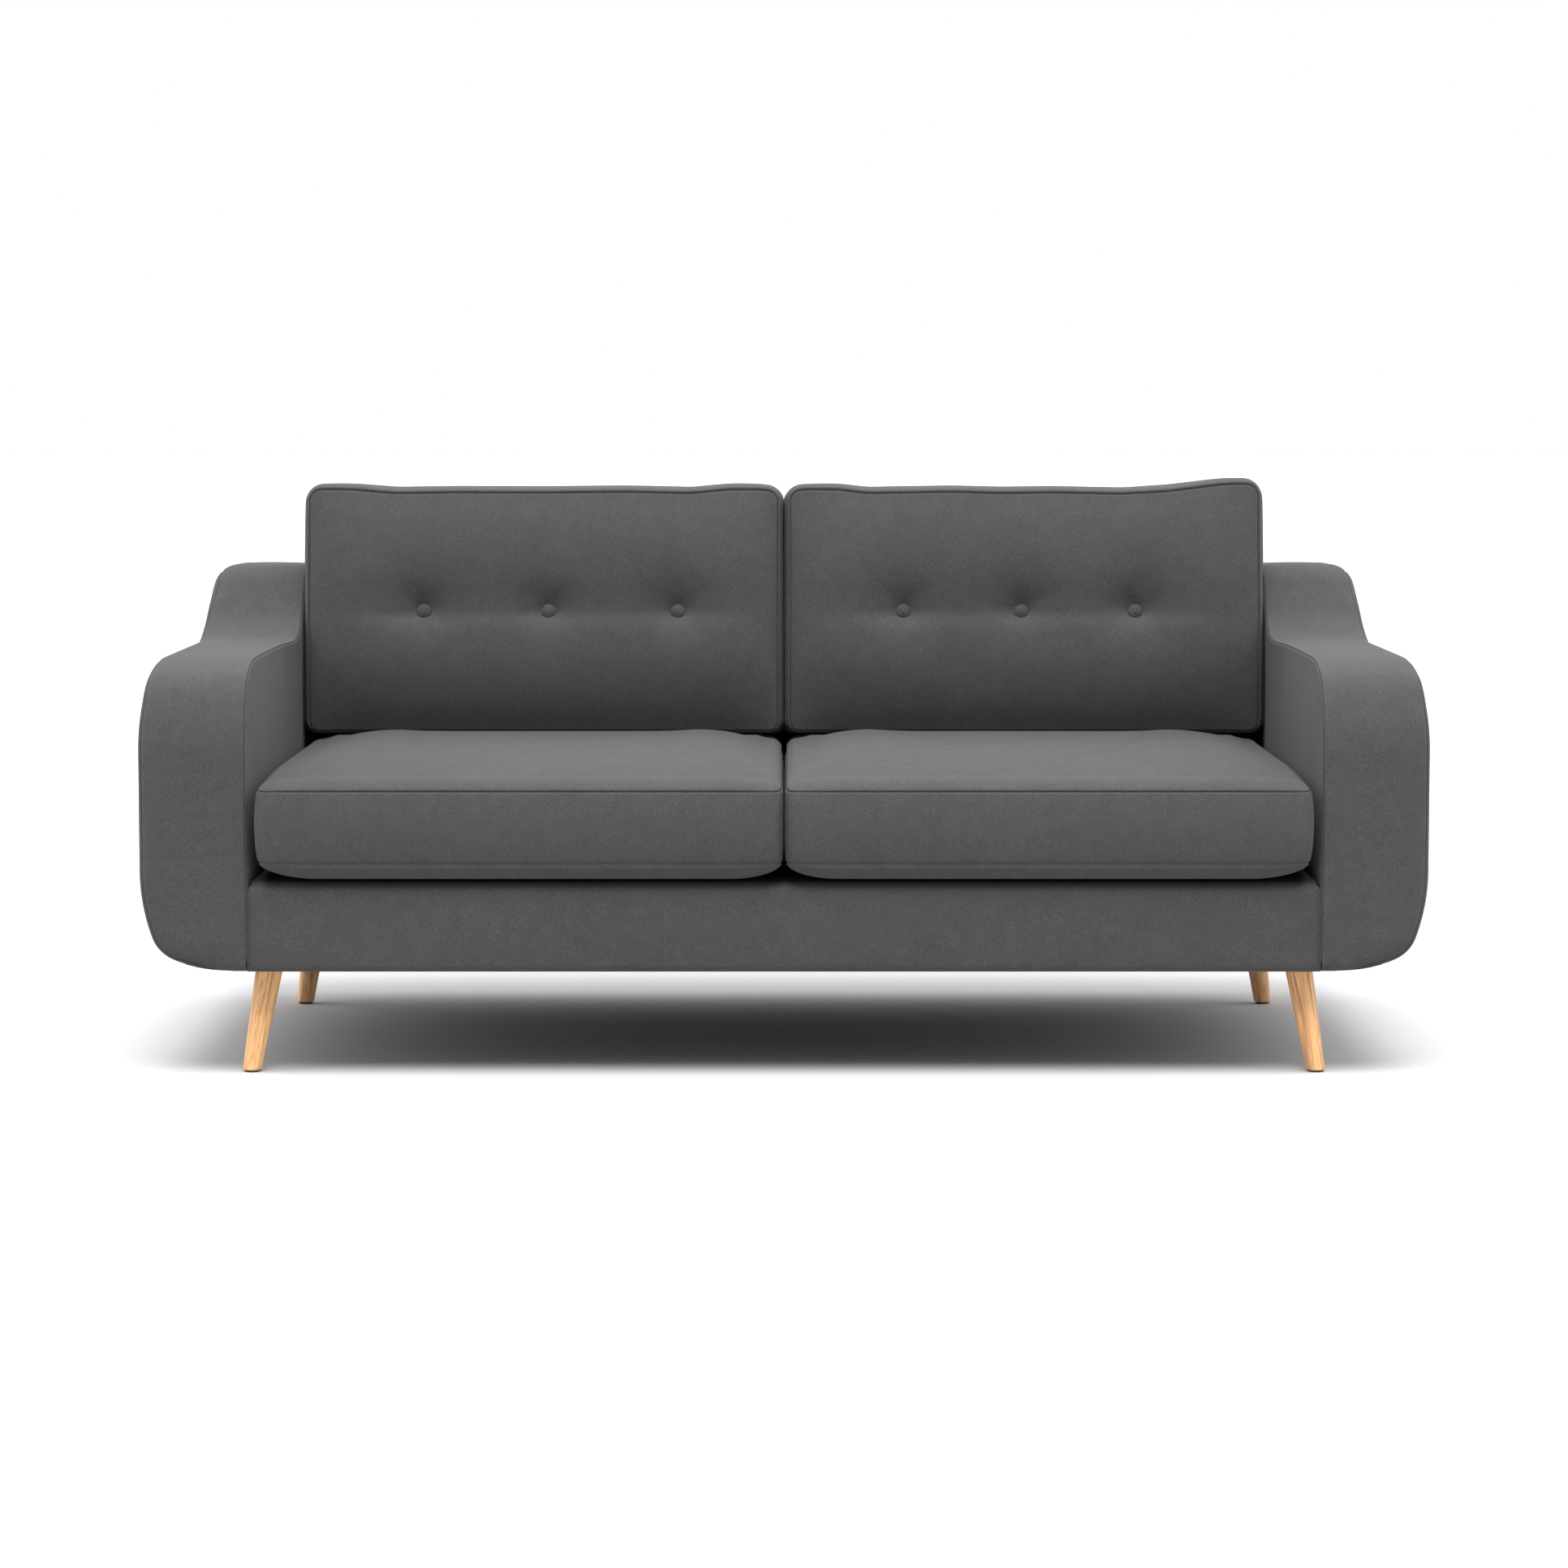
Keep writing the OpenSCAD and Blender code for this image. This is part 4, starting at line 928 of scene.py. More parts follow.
class BackCushion(Cushion):
    """Here c is depth, counted forwards, so its top is the front face."""

    kind, filling, fill = "back", "fill", 0.75
    spacing = 4.6 * MM
    deflate = 0.9
    far_pin = 1.0
    tightness = (0.7, 0.5)

    def __init__(self, right):
        a = (BACK_LO.x + 8 * MM, BACK_HI.x - 11 * MM)
        b = (2 * MM, BACK_H - 16.5 * MM)
        super().__init__(right, a, b, (-BACK_THICK + 16 * MM, -BACK_SINK), 17 * MM)

    def face(self, top, x, y, a0, a1, b0, b1):
        if top:
            full = roll(a0, 0.10, 2.2, 1.2) * roll(a1, 0.10, 2.2, 1.2)
            full = full * roll(b0, 0.15, 2) * roll(b1, 0.16, 2)
            return self.c[1] + (BACK_SINK - 1 * MM) * full - self.tufts(x, y)
        full = roll(a0, 0.08, 2, 1.5) * roll(a1, 0.08, 2, 1.5) * roll(b0, 0.05, 2, 1.6)
        return self.c[0] - 12.8 * MM * full * roll(b1, 0.09, 2, 1.4)

    def tufts(self, x, y):
        """Depth of the dimples at the buttons and of the valley that joins them."""
        up = y - BUTTON_H
        ends = smooth((x - self.a[0]) / 0.16) * smooth((self.a[1] - x) / 0.16)
        slope = np.where(up > 0, 50 * MM, 22 * MM)
        depth = TUFT_VALLEY * ends * np.exp(-((up / slope) ** 2))
        for i, centre in enumerate(BUTTON_X[self.right]):
            dx = x - centre
            far = np.sqrt((dx / 1.3) ** 2 + (up * np.where(up > 0, 0.72, 1.1)) ** 2)
            angle = np.arctan2(up, dx)
            folds = 0.05 * np.cos(5 * angle + 1.3 * i + self.seed) + 0.03 * np.cos(8 * angle + i)
            near = TUFT_DEPTH * np.exp(-np.maximum(far - 6 * MM, 0) / (25 * MM))
            depth = depth + near * (1 + folds * smooth((far - 14 * MM) / (20 * MM)))
        return depth

    def border(self, outward, share):
        sides = 14 * MM * np.abs(outward[:, 0]) ** 2
        top = 18 * MM * np.maximum(outward[:, 1], 0) ** 2
        foot = 5 * MM * np.maximum(-outward[:, 1], 0) ** 2
        return (sides + top + foot)[None] * bulge(share, 0.5)

    def wave(self, points):
        """Lifts the top edge, which isn't straight, and eases the lift out towards the foot."""
        stops = np.array(TOP_WAVES[self.right])
        across = (points[..., 0] - BACK_LO.x) / (BACK_HI.x - BACK_LO.x)
        fine = np.linspace(0, 1, 201)
        lift = np.interp(fine, stops[:, 0], stops[:, 1])
        kernel = np.hanning(13)
        lift = np.convolve(np.pad(lift, 6, mode="edge"), kernel / kernel.sum(), "valid")
        height = smooth((points[..., 1] / BACK_H - 0.35) / 0.65) ** 2
        points = points.copy()
        points[..., 1] += np.interp(across, fine, lift) * MM * height
        low = np.clip(1 - points[..., 1] / (0.36 * BACK_H), 0, 1) ** 2
        ahead = smooth(1 + points[..., 2] / (0.6 * BACK_THICK))
        points[..., 2] -= BACK_TUCK * low * ahead
        return points

    def shapes(self, us, ws, vs):
        return [self.wave(part) for part in super().shapes(us, ws, vs)]

    def pins(self, vertices, m, n):
        pins = super().pins(vertices, m, n)
        for centre in BUTTON_X[self.right]:
            off = np.hypot(vertices[: m * n, 0] - centre, vertices[: m * n, 1] - BUTTON_H)
            pins[: m * n][off < 16 * MM] = 1.0
        return pins

    def upright(self, p):
        return lean_back(p)

    def settled(self, p):
        """Kept above the seat and off the arm, and soft against the other back cushion."""
        z = soft_floor(p[:, 2], BACK_LO.z + 0.4 * MM - BACK_PRESS, 3 * MM)
        wander = 1.5 * MM * np.sin((p[:, 1] - BACK_T) * 40) * (1 if self.right else -1)
        x = soft_floor(p[:, 0], 0.1 * MM + wander, 1.5 * MM)
        over_arm = 5 * MM * smooth((z - SEAM_Z) / 0.04)
        x = np.minimum(x, ARM_IN - WING_IN - 1.5 * MM + over_arm)
        return np.column_stack([x, p[:, 1], z])


def lean_back(p):
    """A back cushion's (across, up, forwards) to (x, t, z)."""
    c, s = math.cos(LEAN), math.sin(LEAN)
    x, up, depth = p[..., 0], p[..., 1], -p[..., 2]
    return np.stack([x, BACK_T + depth * c + up * s, BACK_LO.z + up * c - depth * s], -1)


def make_cushion(cushion):
    """Builds one cushion: its shape, what the simulation adds, its seams and its place."""
    sides = (cushion.a, cushion.b, cushion.c)
    fine = [graded(high - low, cushion.spacing) for low, high in sides]
    parts = cushion.shapes(*fine)
    parts = [p + g for p, g in zip(parts, blown_up(cushion, fine))]
    vertices, faces = cushion_mesh(*parts)
    near_top = np.abs(vertices[:, 2] - cushion.c[1]) < np.abs(vertices[:, 2] - cushion.c[0])
    tightness = np.where(near_top, *cushion.tightness)
    vertices = sew(vertices, faces, seam_distances(*fine), tightness)
    vertices = cushion.settled(cushion.upright(vertices))
    a, b, c = (vertices[faces[:, k]] for k in range(3))
    if (np.cross(a, b) * c).sum() < 0:
        faces = faces[:, ::-1]
    side = side_name(cushion.right)
    name = f"{cushion.kind}_cushion_{side}"
    replaced = [f"{cushion.kind}_cushion_{part}_{side}" for part in ("cover", cushion.filling)]
    cloth_piece(name, (vertices, faces), cushion.right, replaced, name)


def soft_floor(z, floor, blend):
    """z, held above a floor and eased onto it."""
    over = z - floor
    eased = np.where(over < blend, blend * np.exp(np.minimum(over - blend, 0) / blend), over)
    return floor + np.where(over < blend, eased * 0.55 + 0.45 * np.maximum(over, 0), over)


# ---------------------------------------------------------------- small pieces


def lathe(profile, segments):
    """A closed turned solid about +Z, from (radius, height) places that start and end on it."""
    profile = np.array(profile, float)
    a = np.linspace(0, 2 * math.pi, segments, endpoint=False)
    rings = [np.column_stack([r * np.cos(a), r * np.sin(a), 0 * a + z]) for r, z in profile[1:-1]]
    vertices = np.concatenate([[[0, 0, profile[0, 1]]], *rings, [[0, 0, profile[-1, 1]]]])
    faces = []
    for k in range(segments):
        after = (k + 1) % segments
        faces.append([0, 1 + after, 1 + k])
        for r in range(len(rings) - 1):
            base = 1 + r * segments
            faces.append([base + k, base + after, base + segments + after, base + segments + k])
        last = 1 + (len(rings) - 1) * segments
        faces.append([last + k, last + after, len(vertices) - 1])
    return vertices, faces


def button_mesh(seed):
    """A covered button: a domed shell with the faint pleats of the cloth gathered behind it."""
    r = BUTTON_D / 2
    angles = np.linspace(0, math.pi / 2, 12)
    dome = [(r * math.sin(a), 2.4 * MM + 5.2 * MM * math.cos(a)) for a in angles]
    skirt = [(r * 1.0, 1.2 * MM), (r * 0.93, 0.2 * MM), (r * 0.7, -0.4 * MM), (0, -0.4 * MM)]
    vertices, faces = lathe(dome + skirt, 64)
    angle = np.arctan2(vertices[:, 1], vertices[:, 0])
    off = np.hypot(vertices[:, 0], vertices[:, 1]) / r
    pleat = 1 + 0.012 * np.cos(16 * angle + seed) * smooth((off - 0.75) / 0.25)
    vertices[:, :2] *= pleat[:, None]
    return vertices, faces


def buttons(right):
    side = side_name(right)
    sunk = -TUFT_DEPTH - TUFT_VALLEY - 1.0 * MM
    body, node = f"back_cushion_{side}", f"buttons_{side}"
    for i, centre in enumerate(BUTTON_X[right]):
        vertices, faces = button_mesh(i)
        placed = lean_back(vertices + [centre, BUTTON_H, sunk])
        cloth_piece(f"button_{side}_{i + 1}", (placed, faces), right, [node], body=body)


def tube(rings):
    """Vertices and faces of a closed solid through rings of points, with flat ends."""
    rings = np.array(rings)
    levels, count = rings.shape[:2]
    k = np.arange(count)
    after = (k + 1) % count
    faces = []
    for first in range(0, (levels - 1) * count, count):
        quads = [k, after, after + count, k + count]
        faces += (first + np.column_stack(quads)).tolist()
    faces += [k[::-1].tolist(), ((levels - 1) * count + k).tolist()]
    return rings.reshape(-1, 3), faces


LEG_SPLAY = math.tan(math.radians(9.4))
LEG_FOOT_R = 14.3 * MM
LEG_TOP_R = 21.75 * MM


def leg(front, right):
    """A turned, tapered leg, splayed outwards and lengthways, and cut level at both ends."""
    name = f"leg_{'front' if front else 'rear'}_{side_name(right)}"
    lo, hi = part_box(name)
    out, ahead = (1 if right else -1), (-1 if front else 1)
    foot_x = hi.x - LEG_FOOT_R if right else lo.x + LEG_FOOT_R
    foot_y = lo.y + LEG_FOOT_R if front else hi.y - LEG_FOOT_R
    height = hi.z - lo.z
    edge = 1.6 * MM  # rounding of the foot
    heights = np.r_[0, 0.3 * edge, 0.7 * edge, np.linspace(edge, height, 40)]
    cut = np.r_[edge, 0.45 * edge, 0.12 * edge, np.zeros(40)]
    a = np.linspace(0, 2 * math.pi, 72, endpoint=False)
    rings, grain = [], []
    for h, c in zip(heights, cut):
        r = LEG_FOOT_R + (LEG_TOP_R - LEG_FOOT_R) * h / height - c
        centre = np.array([foot_x - out * h * LEG_SPLAY, foot_y - ahead * h * LEG_SPLAY])
        x, y = r * np.cos(a), r * np.sin(a)
        rings.append(np.column_stack([centre[0] + x, centre[1] + y, 0 * a + lo.z + h]))
        grain.append(np.column_stack([x, y, 0 * a + h]))
    piece = new_object(f"wooden_{name}", *tube(rings), "oak")
    offset = np.array([0.31 * out, 0.17 * ahead, 0.4 * out + 0.9 * ahead])
    store = piece.data.attributes.new("grain", "FLOAT_VECTOR", "POINT")
    store.data.foreach_set("vector", (np.concatenate(grain) + offset).astype(np.float32).ravel())
    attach(piece, "frame")
    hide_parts(name)


def boxes_mesh(boxes, bevel):
    """Several bevelled blocks, each (lowest corner, highest corner), as one mesh."""
    vertices, faces = [], []
    for lo, hi in boxes:
        lo, hi = np.array(lo, float), np.array(hi, float)
        b = min(bevel, 0.3 * float((hi - lo).min()))
        rings = []
        for z, inset in ((lo[2], b), (lo[2] + b, 0), (hi[2] - b, 0), (hi[2], b)):
            x0, x1, y0, y1 = lo[0] + inset, hi[0] - inset, lo[1] + inset, hi[1] - inset
            near = [(x0 + b, y0), (x1 - b, y0), (x1, y0 + b), (x1, y1 - b)]
            far = [(x1 - b, y1), (x0 + b, y1), (x0, y1 - b), (x0, y0 + b)]
            rings.append([(x, y, z) for x, y in near + far])
        block_vertices, block_faces = tube(rings)
        faces += [[len(vertices) + k for k in face] for face in block_faces]
        vertices += block_vertices.tolist()
    return np.array(vertices), faces


def middle_of(node):
    lo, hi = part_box(node)
    return (np.array(lo) + np.array(hi)) / 2


def at_zip(vertices, place, seat):
    """Moves a piece drawn about the face of a zip to that place, leaning as its cushion does."""
    lean = 0 if seat else LEAN
    c, s = math.cos(lean), math.sin(lean)
    out, up = vertices[:, 1], vertices[:, 2]
    x, y, z = place
    return np.column_stack([vertices[:, 0] + x, y + out * c + up * s, z - out * s + up * c])


ZIP_WIDTH = 11.2 * MM
TOOTH_PITCH = 2.6 * MM
TOOTH = np.array([0.8, 0.25, 1.5]) * MM  # half its size
TOOTH_SHIFT = 0.6 * MM  # to either side of the middle


def zip_fastener(seat, side):
    """Two woven tapes with a row of coil teeth along the gap between them."""
    kind = "seat" if seat else "back"
    node = f"{kind}_zip_{side}"
    lo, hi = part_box(node)
    place = middle_of(node)
    if seat:
        place[1] = hi.y
    half = (hi.x - lo.x) / 2
    low, high = [-half, -1.0 * MM], [half, -0.2 * MM]
    gap, edge = 0.3 * MM, ZIP_WIDTH / 2
    tapes = [(low + [-edge], high + [-gap]), (low + [gap], high + [edge])]
    teeth = []
    for i in range(int(2 * half / TOOTH_PITCH)):
        middle = [-half + (i + 0.5) * TOOTH_PITCH, 0, TOOTH_SHIFT if i % 2 else -TOOTH_SHIFT]
        teeth.append((middle - TOOTH, middle + TOOTH))
    parts = (("tape", tapes, 0.2 * MM, "zip_tape"), ("teeth", teeth, 0.25 * MM, "zip_metal"))
    for part, boxes, bevel, slot in parts:
        vertices, faces = boxes_mesh(boxes, bevel)
        piece = new_object(f"{node}_{part}", at_zip(vertices, place, seat), faces, slot)
        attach(piece, f"{kind}_cushion_{side}")
        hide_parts(node)


# Blocks of a zip slider, in millimetres, along the zip, out of it and across it
SLIDER_PLATES = [
    ((0, 0, -4), (12, 0.6, 4)),
    ((2, 0.5, -1.4), (10, 1.0, 1.4)),
    ((0.6, 0.9, -3.4), (11.4, 1.4, 3.4)),
]
SLIDER_BRIDGE = [
    ((3, 1.3, -0.6), (4, 2.0, 0.6)),
    ((10, 1.3, -0.6), (11, 2.0, 0.6)),
    ((3, 1.7, -0.6), (11, 2.1, 0.6)),
]
SLIDER_TAB = [((9, 0.8, z - 0.7), (29, 1.4, z + 0.7)) for z in (-2.2, 2.2)]
SLIDER_TAB += [((x, 0.8, -2.2), (x + 2.5, 1.4, 2.2)) for x in (11.6, 20, 26.5)]


def zip_slider(seat, side):
    """A slider: two plates on a neck, a bridge over them and a pull tab with a slot."""
    node = f"{'seat' if seat else 'back'}_zip_slider_{side}"
    lo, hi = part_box(node)
    blocks = np.array(SLIDER_PLATES + SLIDER_BRIDGE + SLIDER_TAB) * MM
    vertices, faces = boxes_mesh(blocks, 0.25 * MM)
    vertices -= [(hi.x - lo.x) / 2, 0.9 * MM, 0]
    vertices, faces = mirrored(vertices, faces, side == "right")
    placed = at_zip(vertices, middle_of(node), seat)
    piece = new_object(f"{node}_and_pull", placed, faces, "zip_metal")
    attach(piece, node)
    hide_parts(node)


def leg_tops():
    """Middles of the legs' upper ends, in x and y."""
    for end in ("front", "rear"):
        for side in ("left", "right"):
            lo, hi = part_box(f"leg_{end}_{side}")
            x = lo.x + LEG_TOP_R if lo.x > 0 else hi.x - LEG_TOP_R
            yield [x, hi.y - LEG_TOP_R if lo.y < 0 else lo.y + LEG_TOP_R]


def dust_cover():
    """Thin cloth stapled under the frame, which sags a little, with a hole round each leg."""
    lo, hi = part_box("dust_cover")
    xs, ys = np.linspace(lo.x, hi.x, 180), np.linspace(lo.y, hi.y, 96)
    x, y = np.meshgrid(xs, ys, indexing="ij")
    sag = bulge((x - lo.x) / (hi.x - lo.x), 0.5) * bulge((y - lo.y) / (hi.y - lo.y), 0.6)
    wrinkle = 0.25 * MM * np.sin(x * 61 + 5 * np.sin(y * 9)) * np.sin(y * 47 + 3 * np.sin(x * 7))
    outer = np.dstack([x, y, lo.z + 0.5 * MM - (1.2 * MM + wrinkle) * sag])
    hole_r = LEG_TOP_R + 1.2 * MM
    for hole in leg_tops():
        off = outer[:, :, :2] - hole
        far = np.linalg.norm(off, axis=-1, keepdims=True)
        at_rim = hole + off / np.maximum(far, 1e-9) * hole_r
        close = np.abs(far - hole_r) < 0.5 * (ys[1] - ys[0])
        outer[:, :, :2] = np.where(close, at_rim, outer[:, :, :2])
    middle = (outer[:-1, :-1, :2] + outer[1:, 1:, :2]) / 2
    kept = np.ones(middle.shape[:2], bool)
    for hole in leg_tops():
        kept &= np.linalg.norm(middle - hole, axis=-1) > hole_r
    vertices, faces = cut_sheet(outer, kept.ravel(), 0.6 * MM)
    piece = new_object("dust_cover_cloth", vertices, faces, "black_cloth")
    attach(piece, "frame")
    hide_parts("dust_cover")


def cut_sheet(outer, kept, thickness):
    """A closed sheet below a grid of points, without the cells that were cut out of it."""
    rows, columns = outer.shape[:2]
    count = rows * columns
    under = grid_quads(rows, columns)[kept]
    over = under[:, ::-1] + count
    sides = np.stack([under, np.roll(under, -1, axis=1)], -1).reshape(-1, 2)
    known = {(a, b) for a, b in sides.tolist()}
    rim = np.array([(a, b) for a, b in sides.tolist() if (b, a) not in known])
    walls = np.column_stack([rim[:, 1], rim[:, 0], rim[:, 0] + count, rim[:, 1] + count])
    points = outer.reshape(-1, 3)
    vertices = np.concatenate([points, points + [0, 0, thickness]])
    faces = np.concatenate([under, over, walls])[:, ::-1]
    used, faces = np.unique(faces, return_inverse=True)
    return vertices[used], faces.reshape(-1, 4)


# ---------------------------------------------------------------- materials


def shade(colour, factor):
    return tuple(c * factor for c in colour)


class Look:
    """A material, and the means of wiring textures into its shader."""

    def __init__(self, name):
        self.material = bpy.data.materials.new(name)
        self.material.use_nodes = True
        self.nodes = self.material.node_tree.nodes
        self.links = self.material.node_tree.links
        self.shader = self.nodes["Principled BSDF"]

    def place(self, attribute=None):
        """Where a point lies on the object, or what one of its attributes says."""
        if attribute is None:
            return self.nodes.new("ShaderNodeTexCoord").outputs["Object"]
        source = self.nodes.new("ShaderNodeAttribute")
        source.attribute_name = attribute
        return source.outputs["Vector"]

    def stretched(self, vector, scale):
        node = self.nodes.new("ShaderNodeMapping")
        node.inputs["Scale"].default_value = scale
        self.links.new(vector, node.inputs["Vector"])
        return node.outputs["Vector"]

    def noise(self, vector, scale, detail, roughness, distortion=0.0):
        node = self.nodes.new("ShaderNodeTexNoise")
        node.inputs["Scale"].default_value = scale
        node.inputs["Detail"].default_value = detail
        node.inputs["Roughness"].default_value = roughness
        node.inputs["Distortion"].default_value = distortion
        self.links.new(vector, node.inputs["Vector"])
        return node.outputs["Fac"]

    def ramp(self, value, stops):
        node = self.nodes.new("ShaderNodeValToRGB")
        elements = node.color_ramp.elements
        while len(elements) < len(stops):
            elements.new(0.5)
        for element, (place, colour) in zip(elements, stops):
            element.position = place
            element.color = (*colour, 1)
        self.links.new(value, node.inputs["Fac"])
        return node.outputs["Color"]

    def greys(self, value, dark, light, start=0.3, end=0.7):
        return self.ramp(value, [(start, (dark,) * 3), (end, (light,) * 3)])

    def mix(self, factor, a, b, kind="MIX"):
        node = self.nodes.new("ShaderNodeMix")
        node.data_type = "RGBA"
        node.blend_type = kind
        node.inputs["Factor"].default_value = factor
        self.links.new(a, node.inputs[6])
        self.links.new(b, node.inputs[7])
        return node.outputs[2]

    def bump(self, height, strength, distance):
        node = self.nodes.new("ShaderNodeBump")
        node.inputs["Strength"].default_value = strength
        node.inputs["Distance"].default_value = distance
        self.links.new(height, node.inputs["Height"])
        self.links.new(node.outputs["Normal"], self.shader.inputs["Normal"])


def velvet(name, colour, sheen):
    """Brushed plain cloth: a short nap with fine speckle, faint mottling and a soft sheen."""
    look = Look(name)
    shader = look.shader
    place = look.place()
    speckle = look.noise(place, 520, 3, 0.65)
    mottle = look.noise(place, 42, 4, 0.6)
    nap = look.noise(place, 6.5, 3, 0.55, 0.6)
    stops = [(0.34, shade(colour, 0.78)), (0.55, colour), (0.72, shade(colour, 1.45))]
    mixed = look.mix(0.55, look.ramp(speckle, stops), look.greys(mottle, 0.44, 0.56), "OVERLAY")
    mixed = look.mix(0.5, mixed, look.greys(nap, 0.47, 0.54, 0.35, 0.68), "OVERLAY")
    look.links.new(mixed, shader.inputs["Base Color"])
    shader.inputs["Roughness"].default_value = 0.88
    shader.inputs["Specular IOR Level"].default_value = 0.25
    shader.inputs["Sheen Weight"].default_value = sheen
    shader.inputs["Sheen Roughness"].default_value = 0.42
    shader.inputs["Sheen Tint"].default_value = (0.86, 0.9, 0.88, 1)
    look.bump(speckle, 0.35, 0.35 * MM)
    return look.material


def oak_wood(name, light, dark, attribute=None):
    """Oiled oak: long brown streaks, fine pores and a slight change of tone from leg to leg."""
    look = Look(name)
    shader = look.shader
    place = look.place(attribute)
    streaks = look.noise(look.stretched(place, (95, 95, 3.2)), 1.0, 4, 0.6, 0.9)
    pores = look.noise(look.stretched(place, (900, 900, 26)), 1.0, 2, 0.6)
    tone = look.noise(look.stretched(place, (22, 22, 3)), 1.0, 2, 0.5)
    middle = tuple((a + b) / 2 for a, b in zip(light, dark))
    stops = [(0.36, dark), (0.47, middle), (0.57, light), (0.75, shade(light, 1.12))]
    veins = look.ramp(pores, [(0.3, shade(dark, 0.9)), (0.55, light)])
    veined = look.mix(0.35, look.ramp(streaks, stops), veins)
    mixed = look.mix(0.6, veined, look.greys(tone, 0.42, 0.58), "OVERLAY")
    look.links.new(mixed, shader.inputs["Base Color"])
    shader.inputs["Roughness"].default_value = 0.42
    shader.inputs["Coat Weight"].default_value = 0.12
    shader.inputs["Coat Roughness"].default_value = 0.3
    look.bump(pores, 0.25, 0.2 * MM)
    return look.material


def plain(name, colour, roughness, metallic=0.0, grain_scale=160, spread=0.12, bump=0.15):
    """Metal, plastic, foam or woven tape with a little unevenness in its tone and surface."""
    look = Look(name)
    shader = look.shader
    patch = look.noise(look.place(), grain_scale, 4, 0.6)
    stops = [(0.3, shade(colour, 1 - spread)), (0.7, shade(colour, 1 + spread))]
    look.links.new(look.ramp(patch, stops), shader.inputs["Base Color"])
    rough = look.nodes.new("ShaderNodeMapRange")
    rough.inputs["To Min"].default_value = max(roughness - 0.08, 0.05)
    rough.inputs["To Max"].default_value = min(roughness + 0.08, 1.0)
    look.links.new(patch, rough.inputs["Value"])
    look.links.new(rough.outputs["Result"], shader.inputs["Roughness"])
    shader.inputs["Metallic"].default_value = metallic
    look.bump(patch, bump, 0.3 * MM)
    return look.material


materials = {
    "grey_cloth": velvet("grey_cloth", (0.0525, 0.0538, 0.0508), 0.06),
    "oak": oak_wood("oak", (0.90, 0.50, 0.215), (0.25, 0.088, 0.028), "grain"),
    "frame_timber": oak_wood("frame_timber", (0.62, 0.44, 0.26), (0.42, 0.27, 0.14)),
    "plywood": oak_wood("plywood", (0.58, 0.40, 0.23), (0.38, 0.24, 0.12)),
    "steel": plain("steel", (0.42, 0.43, 0.44), 0.34, 1.0),
    "zip_metal": plain("zip_metal", (0.22, 0.22, 0.23), 0.3, 1.0, 600),
    "glide_plastic": plain("glide_plastic", (0.03, 0.03, 0.032), 0.45),
    "black_cloth": plain("black_cloth", (0.022, 0.022, 0.024), 0.92, 0.0, 900, 0.4, 0.5),
    "webbing": plain("webbing", (0.05, 0.048, 0.045), 0.85, 0.0, 700, 0.35, 0.5),
    "zip_tape": plain("zip_tape", (0.06, 0.062, 0.06), 0.9, 0.0, 900, 0.3, 0.4),
    "twine": plain("twine", (0.12, 0.11, 0.10), 0.85, 0.0, 900, 0.3, 0.4),
    "padding": plain("padding", (0.72, 0.66, 0.48), 0.95, 0.0, 260, 0.1, 0.6),
}


def finish_frame():
    """Gives every CAD node the material of its slot."""
    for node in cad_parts.values():
        for used in node.material_slots:
            name = used.material.name.split(".")[0] if used.material else "steel"
            used.link = "OBJECT"
            used.material = materials.get(name, materials["steel"])


# ---------------------------------------------------------------- the sofa


ARM_PANELS = (
    ("arm_band", arm_band, ("arm_band_cover", "arm_pad")),
    ("arm_outside", arm_outer, ("arm_outer_cover",)),
    ("arm_inside", arm_inner, ("arm_inner_cover",)),
)
BODY_PANELS = (
    ("front_border", front_border, ("front_border_cover", "front_border_pad")),
    ("back_lining", back_lining, ("back_inside_cover", "back_pad")),
    ("outside_back", outside_back, ("back_outside_cover",)),
    ("seat_deck", deck, ("deck_cover", "deck_pad")),
)


def make_panels():
    shells = [shape() for name, shape, replaced in ARM_PANELS]
    for right in (True, False):
        side = side_name(right)
        for (name, shape, replaced), shell in zip(ARM_PANELS, shells):
            cloth_piece(f"{name}_{side}", shell, right, [f"{node}_{side}" for node in replaced])
    for name, shape, replaced in BODY_PANELS:
        cloth_piece(name, shape(), True, replaced)
    dust_cover()


def make_cushions():
    for right in (True, False):
        make_cushion(SeatCushion(right))
        make_cushion(BackCushion(right))
        buttons(right)
        for seat in (True, False):
            zip_fastener(seat, side_name(right))
            zip_slider(seat, side_name(right))


def make_legs():
    for front in (True, False):
        for right in (True, False):
            leg(front, right)


finish_frame()
make_panels()
make_cushions()
make_legs()


# ---------------------------------------------------------------- stage, light and camera


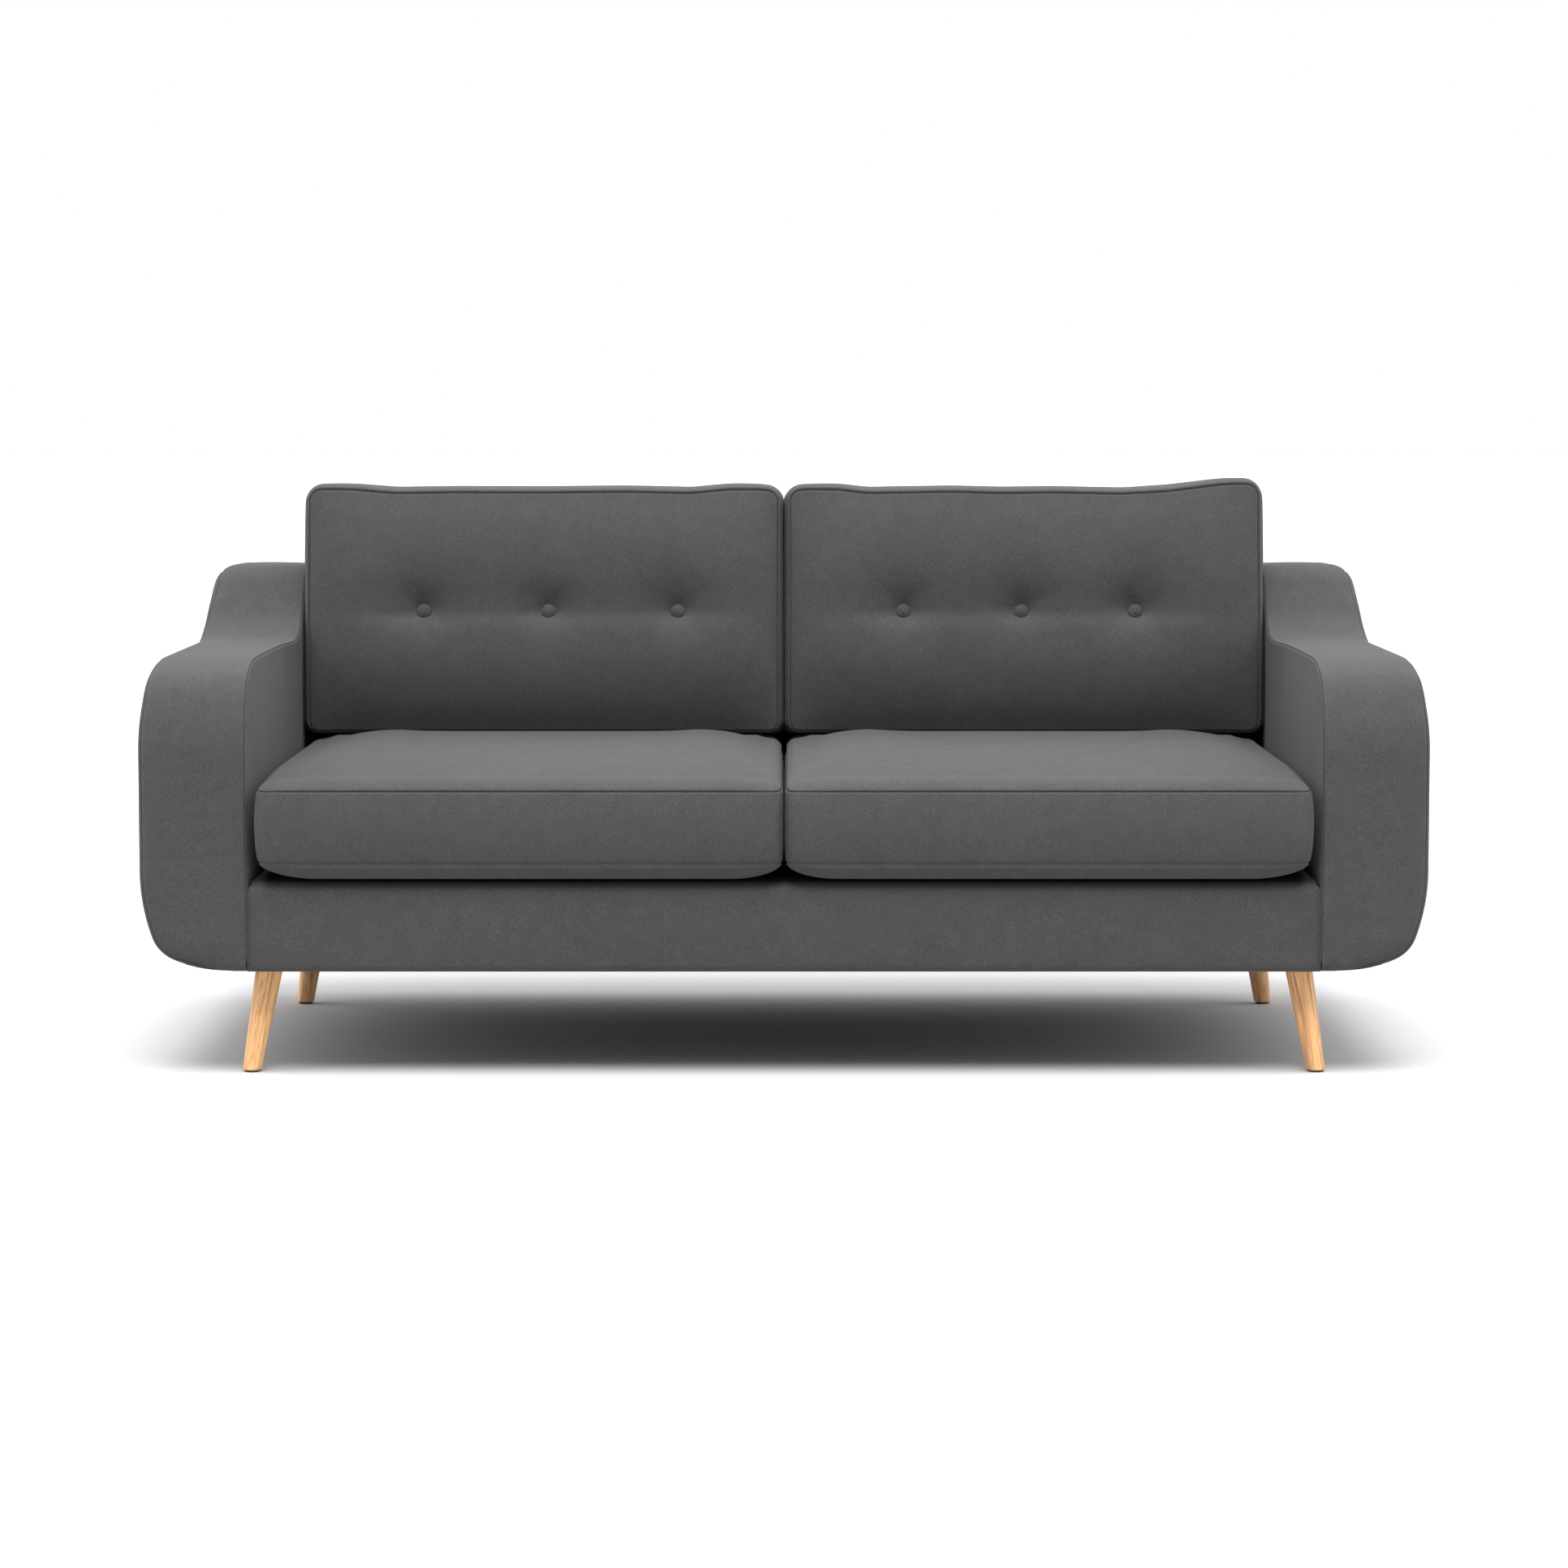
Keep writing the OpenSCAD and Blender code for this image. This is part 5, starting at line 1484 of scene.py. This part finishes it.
def make_stage():
    size = 60.0
    vertices = np.array([[-size, -size, 0], [size, -size, 0], [size, size, 0], [-size, size, 0]])
    look = Look("floor")
    look.shader.inputs["Base Color"].default_value = (0.52, 0.52, 0.52, 1)
    look.shader.inputs["Roughness"].default_value = 0.9
    look.shader.inputs["Specular IOR Level"].default_value = 0.1
    mesh = bpy.data.meshes.new("floor")
    mesh.from_pydata(vertices.tolist(), [], [[0, 1, 2, 3]])
    mesh.materials.append(look.material)
    floor = bpy.data.objects.new("floor", mesh)
    bpy.context.scene.collection.objects.link(floor)


def sun(name, azimuth, elevation, share, softness):
    """A soft lamp far away. Its share is the light it puts on the floor, white sky being 1."""
    light = bpy.data.lights.new(name, "SUN")
    light.energy = math.pi * share / math.sin(math.radians(elevation))
    light.angle = math.radians(softness)
    lamp = bpy.data.objects.new(name, light)
    lamp.rotation_euler = (math.radians(90 - elevation), 0, math.radians(azimuth))
    lamp.location = (0, 0, 4)
    bpy.context.scene.collection.objects.link(lamp)


SKY = 0.42  # strength of the even light from all round
LAMPS = (
    ("front_light", 0, 69, 1.34, 40),
    ("rear_light", 180, 52, 0.34, 60),
    ("left_light", -90, 38, 0.42, 60),
    ("right_light", 90, 38, 0.42, 60),
)


def make_light():
    """Soft lamps all round, in a white room that looks brighter than it lights."""
    world = bpy.data.worlds.new("studio")
    world.use_nodes = True
    nodes, links = world.node_tree.nodes, world.node_tree.links
    sky = nodes["Background"]
    sky.inputs["Color"].default_value = (1, 1, 1, 1)
    strength = nodes.new("ShaderNodeMapRange")
    strength.inputs["To Min"].default_value = SKY
    strength.inputs["To Max"].default_value = 1.0
    links.new(nodes.new("ShaderNodeLightPath").outputs["Is Camera Ray"], strength.inputs["Value"])
    links.new(strength.outputs["Result"], sky.inputs["Strength"])
    bpy.context.scene.world = world
    for lamp in LAMPS:
        sun(*lamp)


CAMERA_GAP = 6.0216  # from the front face of the sofa
CAMERA_Z = 1.0328
CAMERA_PITCH = 5.55  # degrees below level
LENS = 92.2
SENSOR = 36.0


def make_camera():
    data = bpy.data.cameras.new("camera")
    data.lens, data.sensor_width = LENS, SENSOR
    camera = bpy.data.objects.new("camera", data)
    camera.location = (0, FRONT_Y - CAMERA_GAP, CAMERA_Z)
    camera.rotation_euler = (math.radians(90 - CAMERA_PITCH), 0, 0)
    bpy.context.scene.collection.objects.link(camera)
    bpy.context.scene.camera = camera


make_stage()
make_light()
make_camera()
bpy.context.scene.view_settings.view_transform = "Standard"
